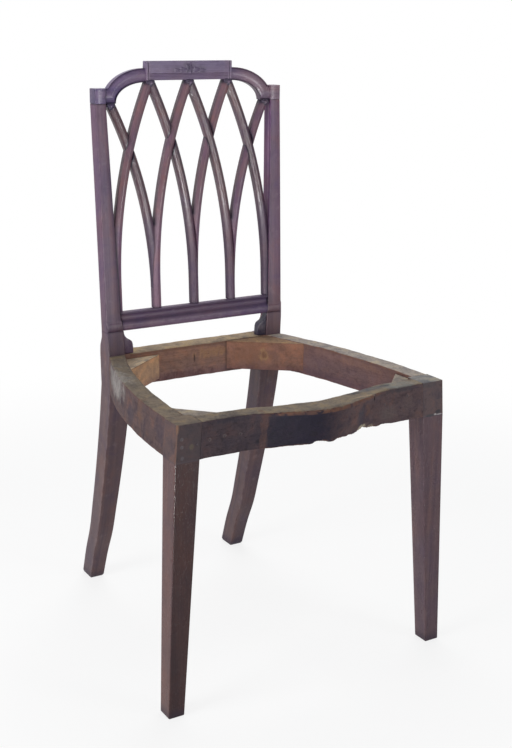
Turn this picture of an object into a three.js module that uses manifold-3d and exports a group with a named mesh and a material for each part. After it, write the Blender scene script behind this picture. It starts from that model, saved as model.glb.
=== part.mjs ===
// A square-back side chair of mahogany, stripped of its upholstery.
// Millimetres, +Z up, the front faces -Y, origin on the floor under the middle of the chair.
import * as THREE from 'three';
import { mergeVertices } from 'three/addons/utils/BufferGeometryUtils.js';
import Module from 'manifold-3d';

const wasm = await Module();
wasm.setup();

// Fits
const GLUE_GAP = 0.3; // left between any two pieces that touch
const OVERRUN = 6; // how far a cutter runs past the wood

// Seat frame
const SEAT_HEIGHT = 447; // floor to the top of the seat rails
const SEAT_DEPTH = 370.5; // face of the rear posts to the front corners
const SEAT_FRONT_WIDTH = 459.2; // across the front corners at the top
const SEAT_REAR_WIDTH = 329.8; // across the rear posts at the seat
const RAIL_HEIGHT = 55;
const SIDE_RAIL_THICKNESS = 29;
const FRONT_RAIL_THICKNESS = 28;
const REAR_RAIL_SETBACK = 0.6; // rear rail behind the face of the posts
const SIDE_BOW_SHARE = 0.448; // how far forward the swell of a side rail is pulled
const FLARE_SHARE = 3; // how soon the flare is reached going forward
const SIDE_BOW_TOE = 1; // the swell turns in this much at the front corner
const FRONT_BOW_TOP = 36; // serpentine swell of the front rail at its top
const FRONT_BOW_BOTTOM = 27; // and at its bottom
const FRONT_BOW_INSIDE = 23; // and on its inner face
const BOW_SPAN_TOP = 300; // length of the swell along the rail
const BOW_SPAN_BOTTOM = 250;

// Front legs
const LEG_TOP_SIZE = 38.3; // square, where the rails meet it
const LEG_FOOT_SIZE = 25.2;
const RAIL_FLARE = 4; // the sides lean out this much from the top of the rails to their foot
const LEG_SPLAY = 14; // and each front foot this much further
const FOOT_CHAMFER = 1.5;

// Rear posts, each leg and stile in one plank
const REAR_FOOT_SPREAD = 318; // across the rear feet
const REAR_FOOT_WIDTH = 26;
const REAR_LEG_DEPTH = 36;
const LEG_SWEEP = 120.9; // rear feet behind the face of the posts
const POST_SEAT_WIDTH = 38.5; // where the seat rails meet it
const POST_SEAT_DEPTH = 36.5;
const STILE_DEPTH = 25;
const STILE_RAIL_WIDTH = 27; // under the stay rail
const STILE_FOOT_WIDTH = 24; // just over the stay rail
const STILE_TOP_WIDTH = 16.5; // under the crest
const STILE_CAMBER = 2.5; // rounding of the moulded front
const CREST_WIDTH = 335; // across the tops of the posts
const BACK_RAKE = 18; // the tops of the posts lean back this much
const RAKE_CURVE_SHARE = 1.12;

// Back, from the seat up
const UNDER_RAIL_GAP = 39.8; // seat to the stay rail
const STAY_RAIL_HEIGHT = 30.4;
const STAY_RAIL_DEPTH = 16;
const STAY_MOULD_DEPTH = 5; // of the moulding along its front
const LATTICE_HEIGHT = 332.6; // stay rail to the crest joint
const SHOULDER_HEIGHT = 23.4; // square ends of the crest rail
const ARCH_RISE = 29.7; // quarter arches over the shoulders
const TABLET_RISE = 11.1; // tablet over the arches
const TABLET_HEIGHT = 30;
const TABLET_WIDTH = 156.6;
const TABLET_SETBACK = 4.5;
const TABLET_THICKNESS = 12.5;
const REED_HEIGHT = 2.2; // three reeds along the foot of the tablet
const REED_DEPTH = 1;
const FILLET_WIDTH = 3; // upright fillet at each end of the tablet
const TABLET_MARGIN = 1.6;
const ARCH_END_WIDTH = 20; // the arch reaches this far inside the post at the joint
const ARCH_INSET = 1.7; // centre of its curves outside the tablet
const ARCH_LIP = 0.8; // underside of the arch below the underside of the tablet
const ARCH_SETBACK = 5.5; // front of the arch at the tablet
const ARCH_SHOULDER_SETBACK = 1.5; // and where it dies into the shoulder
const ARCH_THICKNESS = 10.5;
const BOSS_WIDTH = 15; // carved drop under the crest at each apex
const BOSS_HEIGHT = 9;
const BOSS_SETBACK = 2.4;

// Lattice of lancet arches
const BAY_WIDTH = 70.6; // from one pier to the next
const BAR_WIDTH = 13;
const BAR_SETBACK = 3; // ridge of a bar behind the face of the posts
const BAR_THICKNESS = 12.5;
const BAR_CAMBER = 2.2;
const SPRING_HEIGHT = 43; // height over the stay rail where a bar starts to lean
const SPRING_SHOULDER = 23; // the bars to the shoulders
const CROTCH_DROP = 23; // lowest edge of the rounded crotch under an apex
const CROTCH_WIDTH = 8;
const CROTCH_RISE = 2.5;
const SCARF_TIP = 1.2; // least thickness of a scarfed bar

// Joints
const TENON_THICKNESS = 10;
const SIDE_TENON_LENGTH = 20;
const CROSS_TENON_LENGTH = 13; // front and rear rails
const TENON_SHOULDER = 8; // above and below a seat rail's tenon
const FRONT_TENON_SETBACK = 8; // behind the face of the front rail
const STAY_TENON_LENGTH = 9;
const STAY_TENON_THICKNESS = 8;
const STAY_TENON_SHOULDER = 6;
const POST_TENON_WIDTH = 9; // top of the post into the crest
const POST_TENON_DEPTH = 12;
const POST_TENON_LENGTH = 14;
const BAR_TENON_WIDTH = 4.4;
const BAR_TENON_DEPTH = 5;
const BAR_TENON_LENGTH = 6;

// Corner blocks and brackets
const FRONT_BLOCK_LEG = 50; // along each rail
const REAR_LEFT_BLOCK_LEG = 62;
const REAR_RIGHT_BLOCK_LEG = 80;
const LEFT_REAR_BLOCK_DROP = 8; // top of the block under the top of the rails
const RIGHT_FRONT_BLOCK_DROP = 5;
const BLOCK_DROP = 1;
const BLOCK_LIFT = 5; // underside of a block above the underside of the rails
const BRACKET_REACH = 17.5;
const BRACKET_DEPTH = 14;
const BRACKET_SETBACK = 0.8;

// Outlines as shares of the sizes that they follow
// rear leg: share of the way down from the rails, share of the sweep
const LEG_SWEEP_SHARES = [[0, 0], [0.13, 0.086], [0.3, 0.222], [0.45, 0.357], [0.62, 0.526], [0.735, 0.645], [0.862, 0.832], [1, 1]];
// back of the post between seat and stay rail: share of the height, share of the step
const POST_STEP_SHARES = [[0, 0], [0.3, 0.18], [0.5, 0.5], [0.72, 0.88], [1, 1]];
// moulded fronts: place across, share of the camber
const CAMBER_SHARES = [[-0.5, 0], [-0.36, 0.55], [-0.18, 0.9], [0, 1], [0.18, 0.9], [0.36, 0.55], [0.5, 0]];
// stay rail moulding, foot to top: share of its height, share of the moulding's depth, negative is proud
const STAY_MOULD_SHARES = [[0, 0.35], [0.05, 0.02], [0.16, -0.26], [0.3, -0.32], [0.42, -0.16], [0.5, 0.22],
  [0.58, 0.72], [0.7, 0.95], [0.82, 0.8], [0.88, 0.45], [0.9, 0.3], [1, 0.3]];
// the torus at its foot runs on across the posts: first and last point of it above
const STAY_TORUS_FIRST = 0;
const STAY_TORUS_LAST = 5;
// bracket: share of the reach, share of the height, from the top down
const BRACKET_SHARES = [[0.04, 1], [0.09, 0.88], [0.19, 0.77], [0.38, 0.67], [0.63, 0.6], [0.84, 0.53],
  [0.94, 0.43], [0.98, 0.3], [1, 0.14], [1, 0]];

const CURVE_STEPS = 18;
const BAR_STEPS = 16;
const MIRROR = [-1, 1];

// Heights
const RAIL_BOTTOM = SEAT_HEIGHT - RAIL_HEIGHT;
const STAY_BOTTOM = SEAT_HEIGHT + UNDER_RAIL_GAP;
const STAY_TOP = STAY_BOTTOM + STAY_RAIL_HEIGHT;
const CREST_JOINT = STAY_TOP + LATTICE_HEIGHT;
const SHOULDER_TOP = CREST_JOINT + SHOULDER_HEIGHT;
const ARCH_TOP = SHOULDER_TOP + ARCH_RISE;
const TABLET_TOP = ARCH_TOP + TABLET_RISE;
const TABLET_BOTTOM = TABLET_TOP - TABLET_HEIGHT;

// Depths, from the front of the swell to the heels of the rear feet
const TOTAL_DEPTH = FRONT_BOW_TOP + SEAT_DEPTH + LEG_SWEEP + REAR_LEG_DEPTH;
const SEAT_FRONT = FRONT_BOW_TOP - TOTAL_DEPTH / 2;
const POST_FACE = SEAT_FRONT + SEAT_DEPTH;
const LEG_BACK = SEAT_FRONT + LEG_TOP_SIZE;

const lerp = THREE.MathUtils.lerp;
const along = (value, from, to) => (value - from) / (to - from);

// Value at a share in a table of pairs, straight between them
function tableAt(table, share) {
  const next = Math.max(1, table.findIndex(([place]) => place >= share));
  const [placeBefore, before] = table[next - 1];
  const [placeAfter, after] = table[next];
  return lerp(before, after, along(share, placeBefore, placeAfter));
}

// Geometry as a solid for joining and cutting
function solid(geometry) {
  const bare = geometry.clone();
  bare.deleteAttribute('normal');
  bare.deleteAttribute('uv');
  const merged = mergeVertices(bare);
  const triVerts = merged.index
    ? new Uint32Array(merged.index.array)
    : Uint32Array.from({ length: merged.attributes.position.count }, (_, i) => i);
  return new wasm.Manifold(new wasm.Mesh({
    numProp: 3,
    vertProperties: new Float32Array(merged.attributes.position.array),
    triVerts,
  }));
}

// Solid back to a geometry with flat faces
function geometryOf(body) {
  const mesh = body.getMesh();
  const geometry = new THREE.BufferGeometry();
  geometry.setAttribute('position', new THREE.BufferAttribute(new Float32Array(mesh.vertProperties), mesh.numProp));
  geometry.setIndex(new THREE.BufferAttribute(new Uint32Array(mesh.triVerts), 1));
  const flat = geometry.toNonIndexed();
  flat.computeVertexNormals();
  return flat;
}

// Rings of points joined one to the next and closed by a flat fan at each end
function loft(rings) {
  const count = rings[0].length;
  const positions = rings.flat().flatMap((point) => [point.x, point.y, point.z]);
  const faces = [];
  rings.slice(1).forEach((_, ring) => {
    for (let i = 0; i < count; i += 1) {
      const a = ring * count + i;
      const b = ring * count + (i + 1) % count;
      faces.push(a, b, b + count, a, b + count, a + count);
    }
  });
  const last = (rings.length - 1) * count;
  for (let i = 1; i < count - 1; i += 1) {
    faces.push(0, i + 1, i);
    faces.push(last, last + i, last + i + 1);
  }
  const volume = signedVolume(positions, faces);
  const geometry = new THREE.BufferGeometry();
  geometry.setAttribute('position', new THREE.Float32BufferAttribute(positions, 3));
  geometry.setIndex(volume < 0 ? faces.reverse() : faces);
  return solid(geometry);
}

function signedVolume(positions, faces) {
  const corner = (i) => new THREE.Vector3().fromArray(positions, 3 * i);
  let sum = 0;
  for (let i = 0; i < faces.length; i += 3) {
    sum += corner(faces[i]).dot(corner(faces[i + 1]).cross(corner(faces[i + 2])));
  }
  return sum;
}

// Box between two corners given in any order
function box([x0, y0, z0], [x1, y1, z1]) {
  const geometry = new THREE.BoxGeometry(Math.abs(x1 - x0), Math.abs(y1 - y0), Math.abs(z1 - z0));
  geometry.translate((x0 + x1) / 2, (y0 + y1) / 2, (z0 + z1) / 2);
  return solid(geometry);
}

// The socket for a tenon: its box with the glue gap all round
function socket([x0, y0, z0], [x1, y1, z1]) {
  const low = [Math.min(x0, x1) - GLUE_GAP, Math.min(y0, y1) - GLUE_GAP, Math.min(z0, z1) - GLUE_GAP];
  const high = [Math.max(x0, x1) + GLUE_GAP, Math.max(y0, y1) + GLUE_GAP, Math.max(z0, z1) + GLUE_GAP];
  return box(low, high);
}

// Outline of [x, z] points made solid between two depths
function plate(points, front, back) {
  const shape = new THREE.Shape(points.map(([x, z]) => new THREE.Vector2(x, z)));
  const geometry = new THREE.ExtrudeGeometry(shape, { depth: back - front, bevelEnabled: false });
  geometry.rotateX(Math.PI / 2);
  geometry.translate(0, back, 0);
  return solid(geometry);
}

// Outline of [x, y] points made solid between two heights
function slab(points, bottom, top) {
  const shape = new THREE.Shape(points.map(([x, y]) => new THREE.Vector2(x, y)));
  const geometry = new THREE.ExtrudeGeometry(shape, { depth: top - bottom, bevelEnabled: false });
  geometry.translate(0, 0, bottom);
  return solid(geometry);
}

// Outline of [y, z] points made solid between two places along X
function bar(points, from, to) {
  const shape = new THREE.Shape(points.map(([y, z]) => new THREE.Vector2(y, z)));
  const geometry = new THREE.ExtrudeGeometry(shape, { depth: to - from, bevelEnabled: false });
  geometry.rotateY(Math.PI / 2);
  geometry.rotateX(Math.PI / 2);
  geometry.translate(from, 0, 0);
  return solid(geometry);
}

// Front plane of the back at a height: the face of the posts, raked
function backFace(z) {
  const share = Math.max(0, along(z, SEAT_HEIGHT, CREST_JOINT));
  return POST_FACE + BACK_RAKE * share ** RAKE_CURVE_SHARE;
}

// Front and back of a rear post at a height
function postFront(z) {
  if (z >= RAIL_BOTTOM) return backFace(z);
  return POST_FACE + LEG_SWEEP * tableAt(LEG_SWEEP_SHARES, 1 - z / RAIL_BOTTOM);
}

function postDepth(z) {
  if (z >= STAY_BOTTOM) return STILE_DEPTH;
  if (z >= SEAT_HEIGHT) {
    const step = tableAt(POST_STEP_SHARES, along(z, SEAT_HEIGHT, STAY_BOTTOM));
    return lerp(POST_SEAT_DEPTH, STILE_DEPTH, step);
  }
  if (z >= RAIL_BOTTOM) return POST_SEAT_DEPTH;
  return lerp(POST_SEAT_DEPTH, REAR_LEG_DEPTH, 1 - z / RAIL_BOTTOM);
}

// Outer and inner side of a rear post at a height, measured from the middle of the chair
function postOutside(z) {
  if (z >= SEAT_HEIGHT) return lerp(SEAT_REAR_WIDTH, CREST_WIDTH, along(z, SEAT_HEIGHT, CREST_JOINT)) / 2;
  return lerp(REAR_FOOT_SPREAD, SEAT_REAR_WIDTH, z / SEAT_HEIGHT) / 2;
}

function postWidth(z) {
  if (z >= STAY_TOP) return lerp(STILE_FOOT_WIDTH, STILE_TOP_WIDTH, along(z, STAY_TOP, CREST_JOINT));
  if (z >= STAY_BOTTOM) return lerp(STILE_RAIL_WIDTH, STILE_FOOT_WIDTH, along(z, STAY_BOTTOM, STAY_TOP));
  if (z > SEAT_HEIGHT) return STILE_RAIL_WIDTH;
  if (z >= RAIL_BOTTOM) return POST_SEAT_WIDTH;
  return lerp(REAR_FOOT_WIDTH, POST_SEAT_WIDTH, z / RAIL_BOTTOM);
}

const postInside = (z) => postOutside(z) - postWidth(z);

// Outside of a side rail at a depth behind the front corners, at its top edge
function sideOutside(y) {
  const share = along(y, POST_FACE, SEAT_FRONT);
  const bend = 2 * SIDE_BOW_SHARE;
  const t = (Math.sqrt(bend * bend + 4 * (1 - bend) * share) - bend) / (2 * (1 - bend));
  const corner = SEAT_FRONT_WIDTH / 2;
  const curve = new THREE.QuadraticBezierCurve(
    new THREE.Vector2(SEAT_REAR_WIDTH / 2, 0),
    new THREE.Vector2(corner - SIDE_BOW_TOE, SIDE_BOW_SHARE),
    new THREE.Vector2(corner, 1),
  );
  return curve.getPoint(THREE.MathUtils.clamp(t, 0, 1)).x;
}

// How far the foot of a side rail flares out at a depth, none at the rear post
function flareAt(y) {
  const share = THREE.MathUtils.clamp(along(y, POST_FACE, SEAT_FRONT), 0, 1);
  return RAIL_FLARE * (1 - (1 - share) ** FLARE_SHARE);
}

// Outer side of a front leg at a height, measured from the middle of the chair
function legOutside(z) {
  const corner = SEAT_FRONT_WIDTH / 2;
  if (z >= RAIL_BOTTOM) return corner + RAIL_FLARE * along(z, SEAT_HEIGHT, RAIL_BOTTOM);
  return corner + RAIL_FLARE + LEG_SPLAY * (1 - z / RAIL_BOTTOM);
}

// Serpentine swell at a place along the front rail
function swell(x, span) {
  const share = Math.min(1, Math.abs(x) / (span / 2));
  return (1 + Math.cos(Math.PI * share)) / 2;
}

const stations = (from, to, steps) => Array.from({ length: steps + 1 }, (_, i) => lerp(from, to, i / steps));

// Tenons of the seat frame, each as the two corners of its box
const TENON_LOW = RAIL_BOTTOM + TENON_SHOULDER;
const TENON_HIGH = SEAT_HEIGHT - TENON_SHOULDER;

function sideTenonRear(side) {
  const middle = sideOutside(POST_FACE) - SIDE_RAIL_THICKNESS / 2;
  return [
    [side * (middle - TENON_THICKNESS / 2), POST_FACE - OVERRUN, TENON_LOW],
    [side * (middle + TENON_THICKNESS / 2), POST_FACE + SIDE_TENON_LENGTH, TENON_HIGH],
  ];
}

function sideTenonFront(side) {
  const middle = sideOutside(LEG_BACK) - SIDE_RAIL_THICKNESS / 2;
  return [
    [side * (middle - TENON_THICKNESS / 2), LEG_BACK + OVERRUN, TENON_LOW],
    [side * (middle + TENON_THICKNESS / 2), LEG_BACK - SIDE_TENON_LENGTH, TENON_HIGH],
  ];
}

function frontTenon(side) {
  const shoulder = SEAT_FRONT_WIDTH / 2 - LEG_TOP_SIZE;
  return [
    [side * (shoulder - OVERRUN), SEAT_FRONT + FRONT_TENON_SETBACK, TENON_LOW],
    [side * (shoulder + CROSS_TENON_LENGTH), SEAT_FRONT + FRONT_TENON_SETBACK + TENON_THICKNESS, TENON_HIGH],
  ];
}

function rearTenon(side) {
  const shoulder = SEAT_REAR_WIDTH / 2 - POST_SEAT_WIDTH;
  const middle = POST_FACE + POST_SEAT_DEPTH / 2;
  return [
    [side * (shoulder - OVERRUN), middle - TENON_THICKNESS / 2, TENON_LOW],
    [side * (shoulder + CROSS_TENON_LENGTH), middle + TENON_THICKNESS / 2, TENON_HIGH],
  ];
}

function stayTenon(side) {
  const shoulder = postInside(STAY_BOTTOM);
  const middle = backFace(STAY_BOTTOM) + STAY_RAIL_DEPTH / 2;
  return [
    [side * (shoulder - OVERRUN), middle - STAY_TENON_THICKNESS / 2, STAY_BOTTOM + STAY_TENON_SHOULDER],
    [side * (shoulder + STAY_TENON_LENGTH), middle + STAY_TENON_THICKNESS / 2, STAY_TOP - STAY_TENON_SHOULDER],
  ];
}

function postTenon(side) {
  const middle = postOutside(CREST_JOINT) - STILE_TOP_WIDTH / 2;
  const depth = backFace(CREST_JOINT) + STILE_DEPTH / 2;
  return [
    [side * (middle - POST_TENON_WIDTH / 2), depth - POST_TENON_DEPTH / 2, CREST_JOINT - OVERRUN],
    [side * (middle + POST_TENON_WIDTH / 2), depth + POST_TENON_DEPTH / 2, CREST_JOINT + POST_TENON_LENGTH],
  ];
}

// One level of a rear post: square behind, moulded in front where camber is given
function postRing(side, z, camber) {
  const outside = postOutside(z);
  const width = postWidth(z);
  const front = postFront(z);
  const middle = outside - width / 2;
  const points = CAMBER_SHARES.map(([across, rise]) => [middle + across * width, front + camber * (1 - rise)]);
  points.push([outside, front + postDepth(z)], [outside - width, front + postDepth(z)]);
  return points.map(([x, y]) => new THREE.Vector3(side * x, y, z));
}

function rearPost(side) {
  const torusTop = STAY_BOTTOM + STAY_RAIL_HEIGHT * STAY_MOULD_SHARES[STAY_TORUS_LAST][0];
  const legLevels = LEG_SWEEP_SHARES.map(([down]) => RAIL_BOTTOM * (1 - down)).reverse();
  const neckLevels = POST_STEP_SHARES.map(([up]) => lerp(SEAT_HEIGHT + GLUE_GAP, STAY_BOTTOM, up));
  const flat = [...legLevels, SEAT_HEIGHT, ...neckLevels, torusTop].map((z) => postRing(side, z, 0));
  const moulded = stations(STAY_TOP, CREST_JOINT, 6).map((z) => postRing(side, z, STILE_CAMBER));
  const start = postRing(side, torusTop + STILE_CAMBER, STILE_CAMBER);
  moulded[moulded.length - 1].forEach((point) => { point.z -= GLUE_GAP; });
  return loft([...flat, start, ...moulded])
    .add(postTorus(side))
    .add(box(...postTenon(side)))
    .subtract(socket(...sideTenonRear(side)))
    .subtract(socket(...rearTenon(side)))
    .subtract(socket(...stayTenon(side)));
}

// Outline of the stay rail's moulded front, foot to top
function stayMoulding() {
  return STAY_MOULD_SHARES.map(([up, depth]) => {
    const z = STAY_BOTTOM + up * STAY_RAIL_HEIGHT;
    return [backFace(z) + depth * STAY_MOULD_DEPTH, z];
  });
}

// The torus of the stay rail returned across the front of a post
function postTorus(side) {
  const front = stayMoulding().slice(STAY_TORUS_FIRST, STAY_TORUS_LAST + 1);
  const [, low] = front[0];
  const [, high] = front[front.length - 1];
  const behind = backFace(high) + STILE_DEPTH / 2;
  const outline = [...front, [behind, high], [behind, low]];
  const outside = postOutside(low);
  return bar(outline, -outside, outside).intersect(besidePost(side, low - OVERRUN, high + OVERRUN, 0));
}

function stayRail() {
  const back = backFace(STAY_BOTTOM) + STAY_RAIL_DEPTH;
  const outline = [...stayMoulding(), [back, STAY_TOP], [back, STAY_BOTTOM]];
  const reach = postOutside(STAY_TOP);
  let rail = bar(outline, -reach, reach);
  MIRROR.forEach((side) => {
    rail = rail.subtract(besidePost(side, STAY_BOTTOM - OVERRUN, STAY_TOP + OVERRUN, GLUE_GAP));
    rail = rail.add(box(...stayTenon(side)));
  });
  barFeet().forEach((foot) => { rail = rail.subtract(socket(...foot)); });
  return rail;
}

// Everything outside the inner face of a post between two heights, moved inwards by a gap
function besidePost(side, low, high, gap) {
  const turns = [RAIL_BOTTOM, SEAT_HEIGHT, STAY_BOTTOM, STAY_TOP].filter((z) => z > low && z < high);
  const rings = [low, ...turns, high].map((z) => {
    const inside = postInside(Math.min(z, CREST_JOINT)) - gap;
    const far = postOutside(CREST_JOINT) + SEAT_DEPTH;
    const front = POST_FACE - SEAT_DEPTH;
    const back = POST_FACE + SEAT_DEPTH;
    return [[inside, front], [far, front], [far, back], [inside, back]]
      .map(([x, y]) => new THREE.Vector3(side * x, y, z));
  });
  return loft(rings);
}

// Quarter arch of the crest, an ellipse outside and inside, from the tablet to the shoulder
function crestArch(side) {
  const centreX = TABLET_WIDTH / 2 + ARCH_INSET;
  const centreZ = CREST_JOINT;
  const shoulder = postInside(CREST_JOINT);
  const outerRise = ARCH_TOP - centreZ;
  const outerTurn = Math.acos((SHOULDER_TOP - centreZ) / outerRise);
  const outerRun = (shoulder - centreX) / Math.sin(outerTurn);
  const innerRise = TABLET_BOTTOM - ARCH_LIP - centreZ;
  const innerRun = shoulder - ARCH_END_WIDTH - centreX;
  const rings = stations(0, 1, CURVE_STEPS / 2).map((share) => {
    const innerTurn = share * Math.PI / 2;
    const outer = [centreX + outerRun * Math.sin(outerTurn * share), centreZ + outerRise * Math.cos(outerTurn * share)];
    const inner = [centreX + innerRun * Math.sin(innerTurn), centreZ + innerRise * Math.cos(innerTurn)];
    return archRing(side, inner, outer, share);
  });
  const first = rings[0].map((point) => point.clone().setX(point.x - side * (ARCH_INSET + OVERRUN)));
  const last = rings[rings.length - 1].map((point) => point.clone().setX(point.x + side * OVERRUN));
  return loft([first, ...rings, last]);
}

// Section of the arch between its inner and outer arcs
function archRing(side, inner, outer, share) {
  const setback = lerp(ARCH_SETBACK, ARCH_SHOULDER_SETBACK, share);
  const front = CAMBER_SHARES.map(([across, rise]) => {
    const place = across + 0.5;
    return [lerp(inner[0], outer[0], place), lerp(inner[1], outer[1], place), setback + BAR_CAMBER * (1 - rise)];
  });
  const thick = setback + ARCH_THICKNESS + (ARCH_SETBACK - setback);
  const points = [...front, [outer[0], outer[1], thick], [inner[0], inner[1], thick]];
  return points.map(([x, z, depth]) => new THREE.Vector3(side * x, backFace(z) + depth, z));
}

// Square end of the crest that caps a post, moulded as the post is
function crestShoulder(side) {
  const levels = [CREST_JOINT, SHOULDER_TOP];
  const front = backFace(CREST_JOINT);
  const rings = levels.map((z) => postRing(side, CREST_JOINT, STILE_CAMBER).map((point) => point.setZ(z)));
  const behind = front + STILE_CAMBER;
  const filler = box(
    [side * (postInside(CREST_JOINT) - ARCH_END_WIDTH / 2), behind, CREST_JOINT],
    [side * (postInside(CREST_JOINT) + OVERRUN), front + ARCH_THICKNESS, SHOULDER_TOP - ARCH_END_WIDTH / 2],
  );
  return loft(rings).add(filler);
}

// Raised tablet with an upright fillet at each end and reeds along its foot
function crestTablet() {
  const half = TABLET_WIDTH / 2;
  const front = backFace(TABLET_BOTTOM) + TABLET_SETBACK;
  let tablet = box([-half, front, TABLET_BOTTOM], [half, front + TABLET_THICKNESS, TABLET_TOP]);
  const innerHalf = half - TABLET_MARGIN - FILLET_WIDTH;
  const reedTop = TABLET_BOTTOM + TABLET_MARGIN + 3 * REED_HEIGHT;
  MIRROR.forEach((side) => {
    const groove = box(
      [side * innerHalf, front - OVERRUN, TABLET_BOTTOM + TABLET_MARGIN],
      [side * (innerHalf - REED_DEPTH), front + REED_DEPTH, TABLET_TOP - TABLET_MARGIN],
    );
    tablet = tablet.subtract(groove);
  });
  stations(TABLET_BOTTOM + TABLET_MARGIN, reedTop, 3).forEach((z) => {
    const reach = innerHalf - REED_DEPTH - TABLET_MARGIN;
    const line = [[front - REED_DEPTH, z - REED_DEPTH], [front + REED_DEPTH / 2, z], [front - REED_DEPTH, z + REED_DEPTH]];
    tablet = tablet.subtract(bar(line, -reach, reach));
  });
  return tablet;
}

// Places of the apexes: place along X and underside of the crest there
function apexes() {
  return [-2, -1, 0, 1, 2].map((place) => ({
    x: place * BAY_WIDTH,
    z: Math.abs(place) === 2 ? CREST_JOINT : TABLET_BOTTOM,
  }));
}

// Small carved drop under the crest where two bars meet, larger all round by a gap when it cuts
function boss({ x, z }, gap) {
  const shape = new THREE.Shape();
  shape.moveTo(-BOSS_WIDTH / 2 - gap, OVERRUN / 2);
  shape.lineTo(-BOSS_WIDTH / 2 - gap, 0);
  shape.absellipse(0, 0, BOSS_WIDTH / 2 + gap, BOSS_HEIGHT + gap, Math.PI, 2 * Math.PI, false, 0);
  shape.lineTo(BOSS_WIDTH / 2 + gap, OVERRUN / 2);
  const front = backFace(z) + (gap > 0 ? -OVERRUN : BOSS_SETBACK);
  const back = backFace(z) + BAR_SETBACK + BAR_THICKNESS + (gap > 0 ? OVERRUN : 0);
  const geometry = new THREE.ExtrudeGeometry(shape, { depth: back - front, bevelEnabled: false, curveSegments: 8 });
  geometry.rotateX(Math.PI / 2);
  geometry.translate(x, back, z);
  return solid(geometry);
}

function crestRail() {
  let crest = crestTablet();
  MIRROR.forEach((side) => {
    crest = crest.add(crestArch(side)).add(crestShoulder(side));
  });
  apexes().forEach((apex) => { crest = crest.add(boss(apex, 0)); });
  MIRROR.forEach((side) => { crest = crest.subtract(socket(...postTenon(side))); });
  BARS.forEach((spec) => { crest = crest.subtract(socket(...barHead(spec))); });
  return crest;
}

// The eight bars. Each leaves one pier and reaches the apex of the next; the bar that leans to the
// middle of the back lies in front. A whole bar stands on the stay rail, a scarfed one on its neighbour.
const BARS = [
  { name: 'lattice_bar_1', pier: 0, apex: 1, over: true, whole: true },
  { name: 'lattice_bar_2', pier: 1, apex: 0, over: false, whole: false },
  { name: 'lattice_bar_3', pier: 1, apex: 2, over: true, whole: true },
  { name: 'lattice_bar_4', pier: 2, apex: 1, over: false, whole: true },
  { name: 'lattice_bar_5', pier: 2, apex: 3, over: false, whole: false },
  { name: 'lattice_bar_6', pier: 3, apex: 2, over: true, whole: true },
  { name: 'lattice_bar_7', pier: 3, apex: 4, over: false, whole: false },
  { name: 'lattice_bar_8', pier: 4, apex: 3, over: true, whole: true },
];

const pierX = (pier) => (pier - 2) * BAY_WIDTH;

function springOf(spec) {
  if (spec.apex === 0 || spec.apex === 4) return STAY_TOP + SPRING_SHOULDER;
  return STAY_TOP + SPRING_HEIGHT;
}

// Centre line of a bar: straight up to its spring, then an arc of a circle to its apex
function barCentre(spec, z) {
  const apex = apexes()[spec.apex];
  const start = pierX(spec.pier);
  const lean = Math.sign(apex.x - start);
  const run = Math.abs(apex.x - start);
  const spring = springOf(spec);
  const rise = apex.z - spring;
  const radius = (run ** 2 + rise ** 2) / (2 * run);
  const height = Math.max(0, z - spring);
  return start + lean * (radius - Math.sqrt(radius ** 2 - height ** 2));
}

// A bar as a loft of its moulded section, wider and deeper all round by a gap when it cuts another
function barBlank(spec, gap) {
  const bottom = STAY_TOP + GLUE_GAP;
  const top = apexes()[spec.apex].z - GLUE_GAP;
  const spring = springOf(spec);
  const levels = [bottom, ...stations(Math.max(spring, bottom + GLUE_GAP), top, BAR_STEPS)];
  const width = BAR_WIDTH + 2 * gap;
  const spare = gap > 0 ? OVERRUN : 0;
  const rings = levels.map((z) => {
    const step = GLUE_GAP;
    const slope = new THREE.Vector2(barCentre(spec, z) - barCentre(spec, z - step), step).normalize();
    const front = BAR_SETBACK - spare;
    const back = BAR_SETBACK + BAR_THICKNESS + spare;
    const section = CAMBER_SHARES.map(([across, rise]) => [across * width, front + BAR_CAMBER * (1 - rise)]);
    section.push([width / 2, back], [-width / 2, back]);
    return section.map(([across, depth]) => new THREE.Vector3(
      barCentre(spec, z) + across * slope.y,
      backFace(z) + depth,
      z - across * slope.x,
    ));
  });
  return loft(rings);
}

// Tenon at the head of a bar, in the half of the apex on its own side
function barHead(spec) {
  const apex = apexes()[spec.apex];
  const away = -Math.sign(apex.x - pierX(spec.pier));
  const middle = backFace(apex.z) + BAR_SETBACK + BAR_THICKNESS / 2;
  return [
    [apex.x + away * BAR_CAMBER / 2, middle - BAR_TENON_DEPTH / 2, apex.z - BOSS_HEIGHT - OVERRUN],
    [apex.x + away * (BAR_CAMBER / 2 + BAR_TENON_WIDTH), middle + BAR_TENON_DEPTH / 2, apex.z + BAR_TENON_LENGTH],
  ];
}

// Tenon at the foot of a whole bar; beside a post it stands in the half that shows
function barFoot(spec) {
  const inward = spec.pier === 0 ? 1 : -1;
  const beside = spec.pier === 0 || spec.pier === 4;
  const middle = pierX(spec.pier) + (beside ? inward * BAR_WIDTH / 4 : 0);
  const depth = backFace(STAY_TOP) + BAR_SETBACK + BAR_THICKNESS / 2;
  return [
    [middle - BAR_TENON_WIDTH / 2, depth - BAR_TENON_DEPTH / 2, STAY_TOP - BAR_TENON_LENGTH],
    [middle + BAR_TENON_WIDTH / 2, depth + BAR_TENON_DEPTH / 2, STAY_TOP + OVERRUN],
  ];
}

const barFeet = () => BARS.filter((spec) => spec.whole).map(barFoot);

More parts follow.
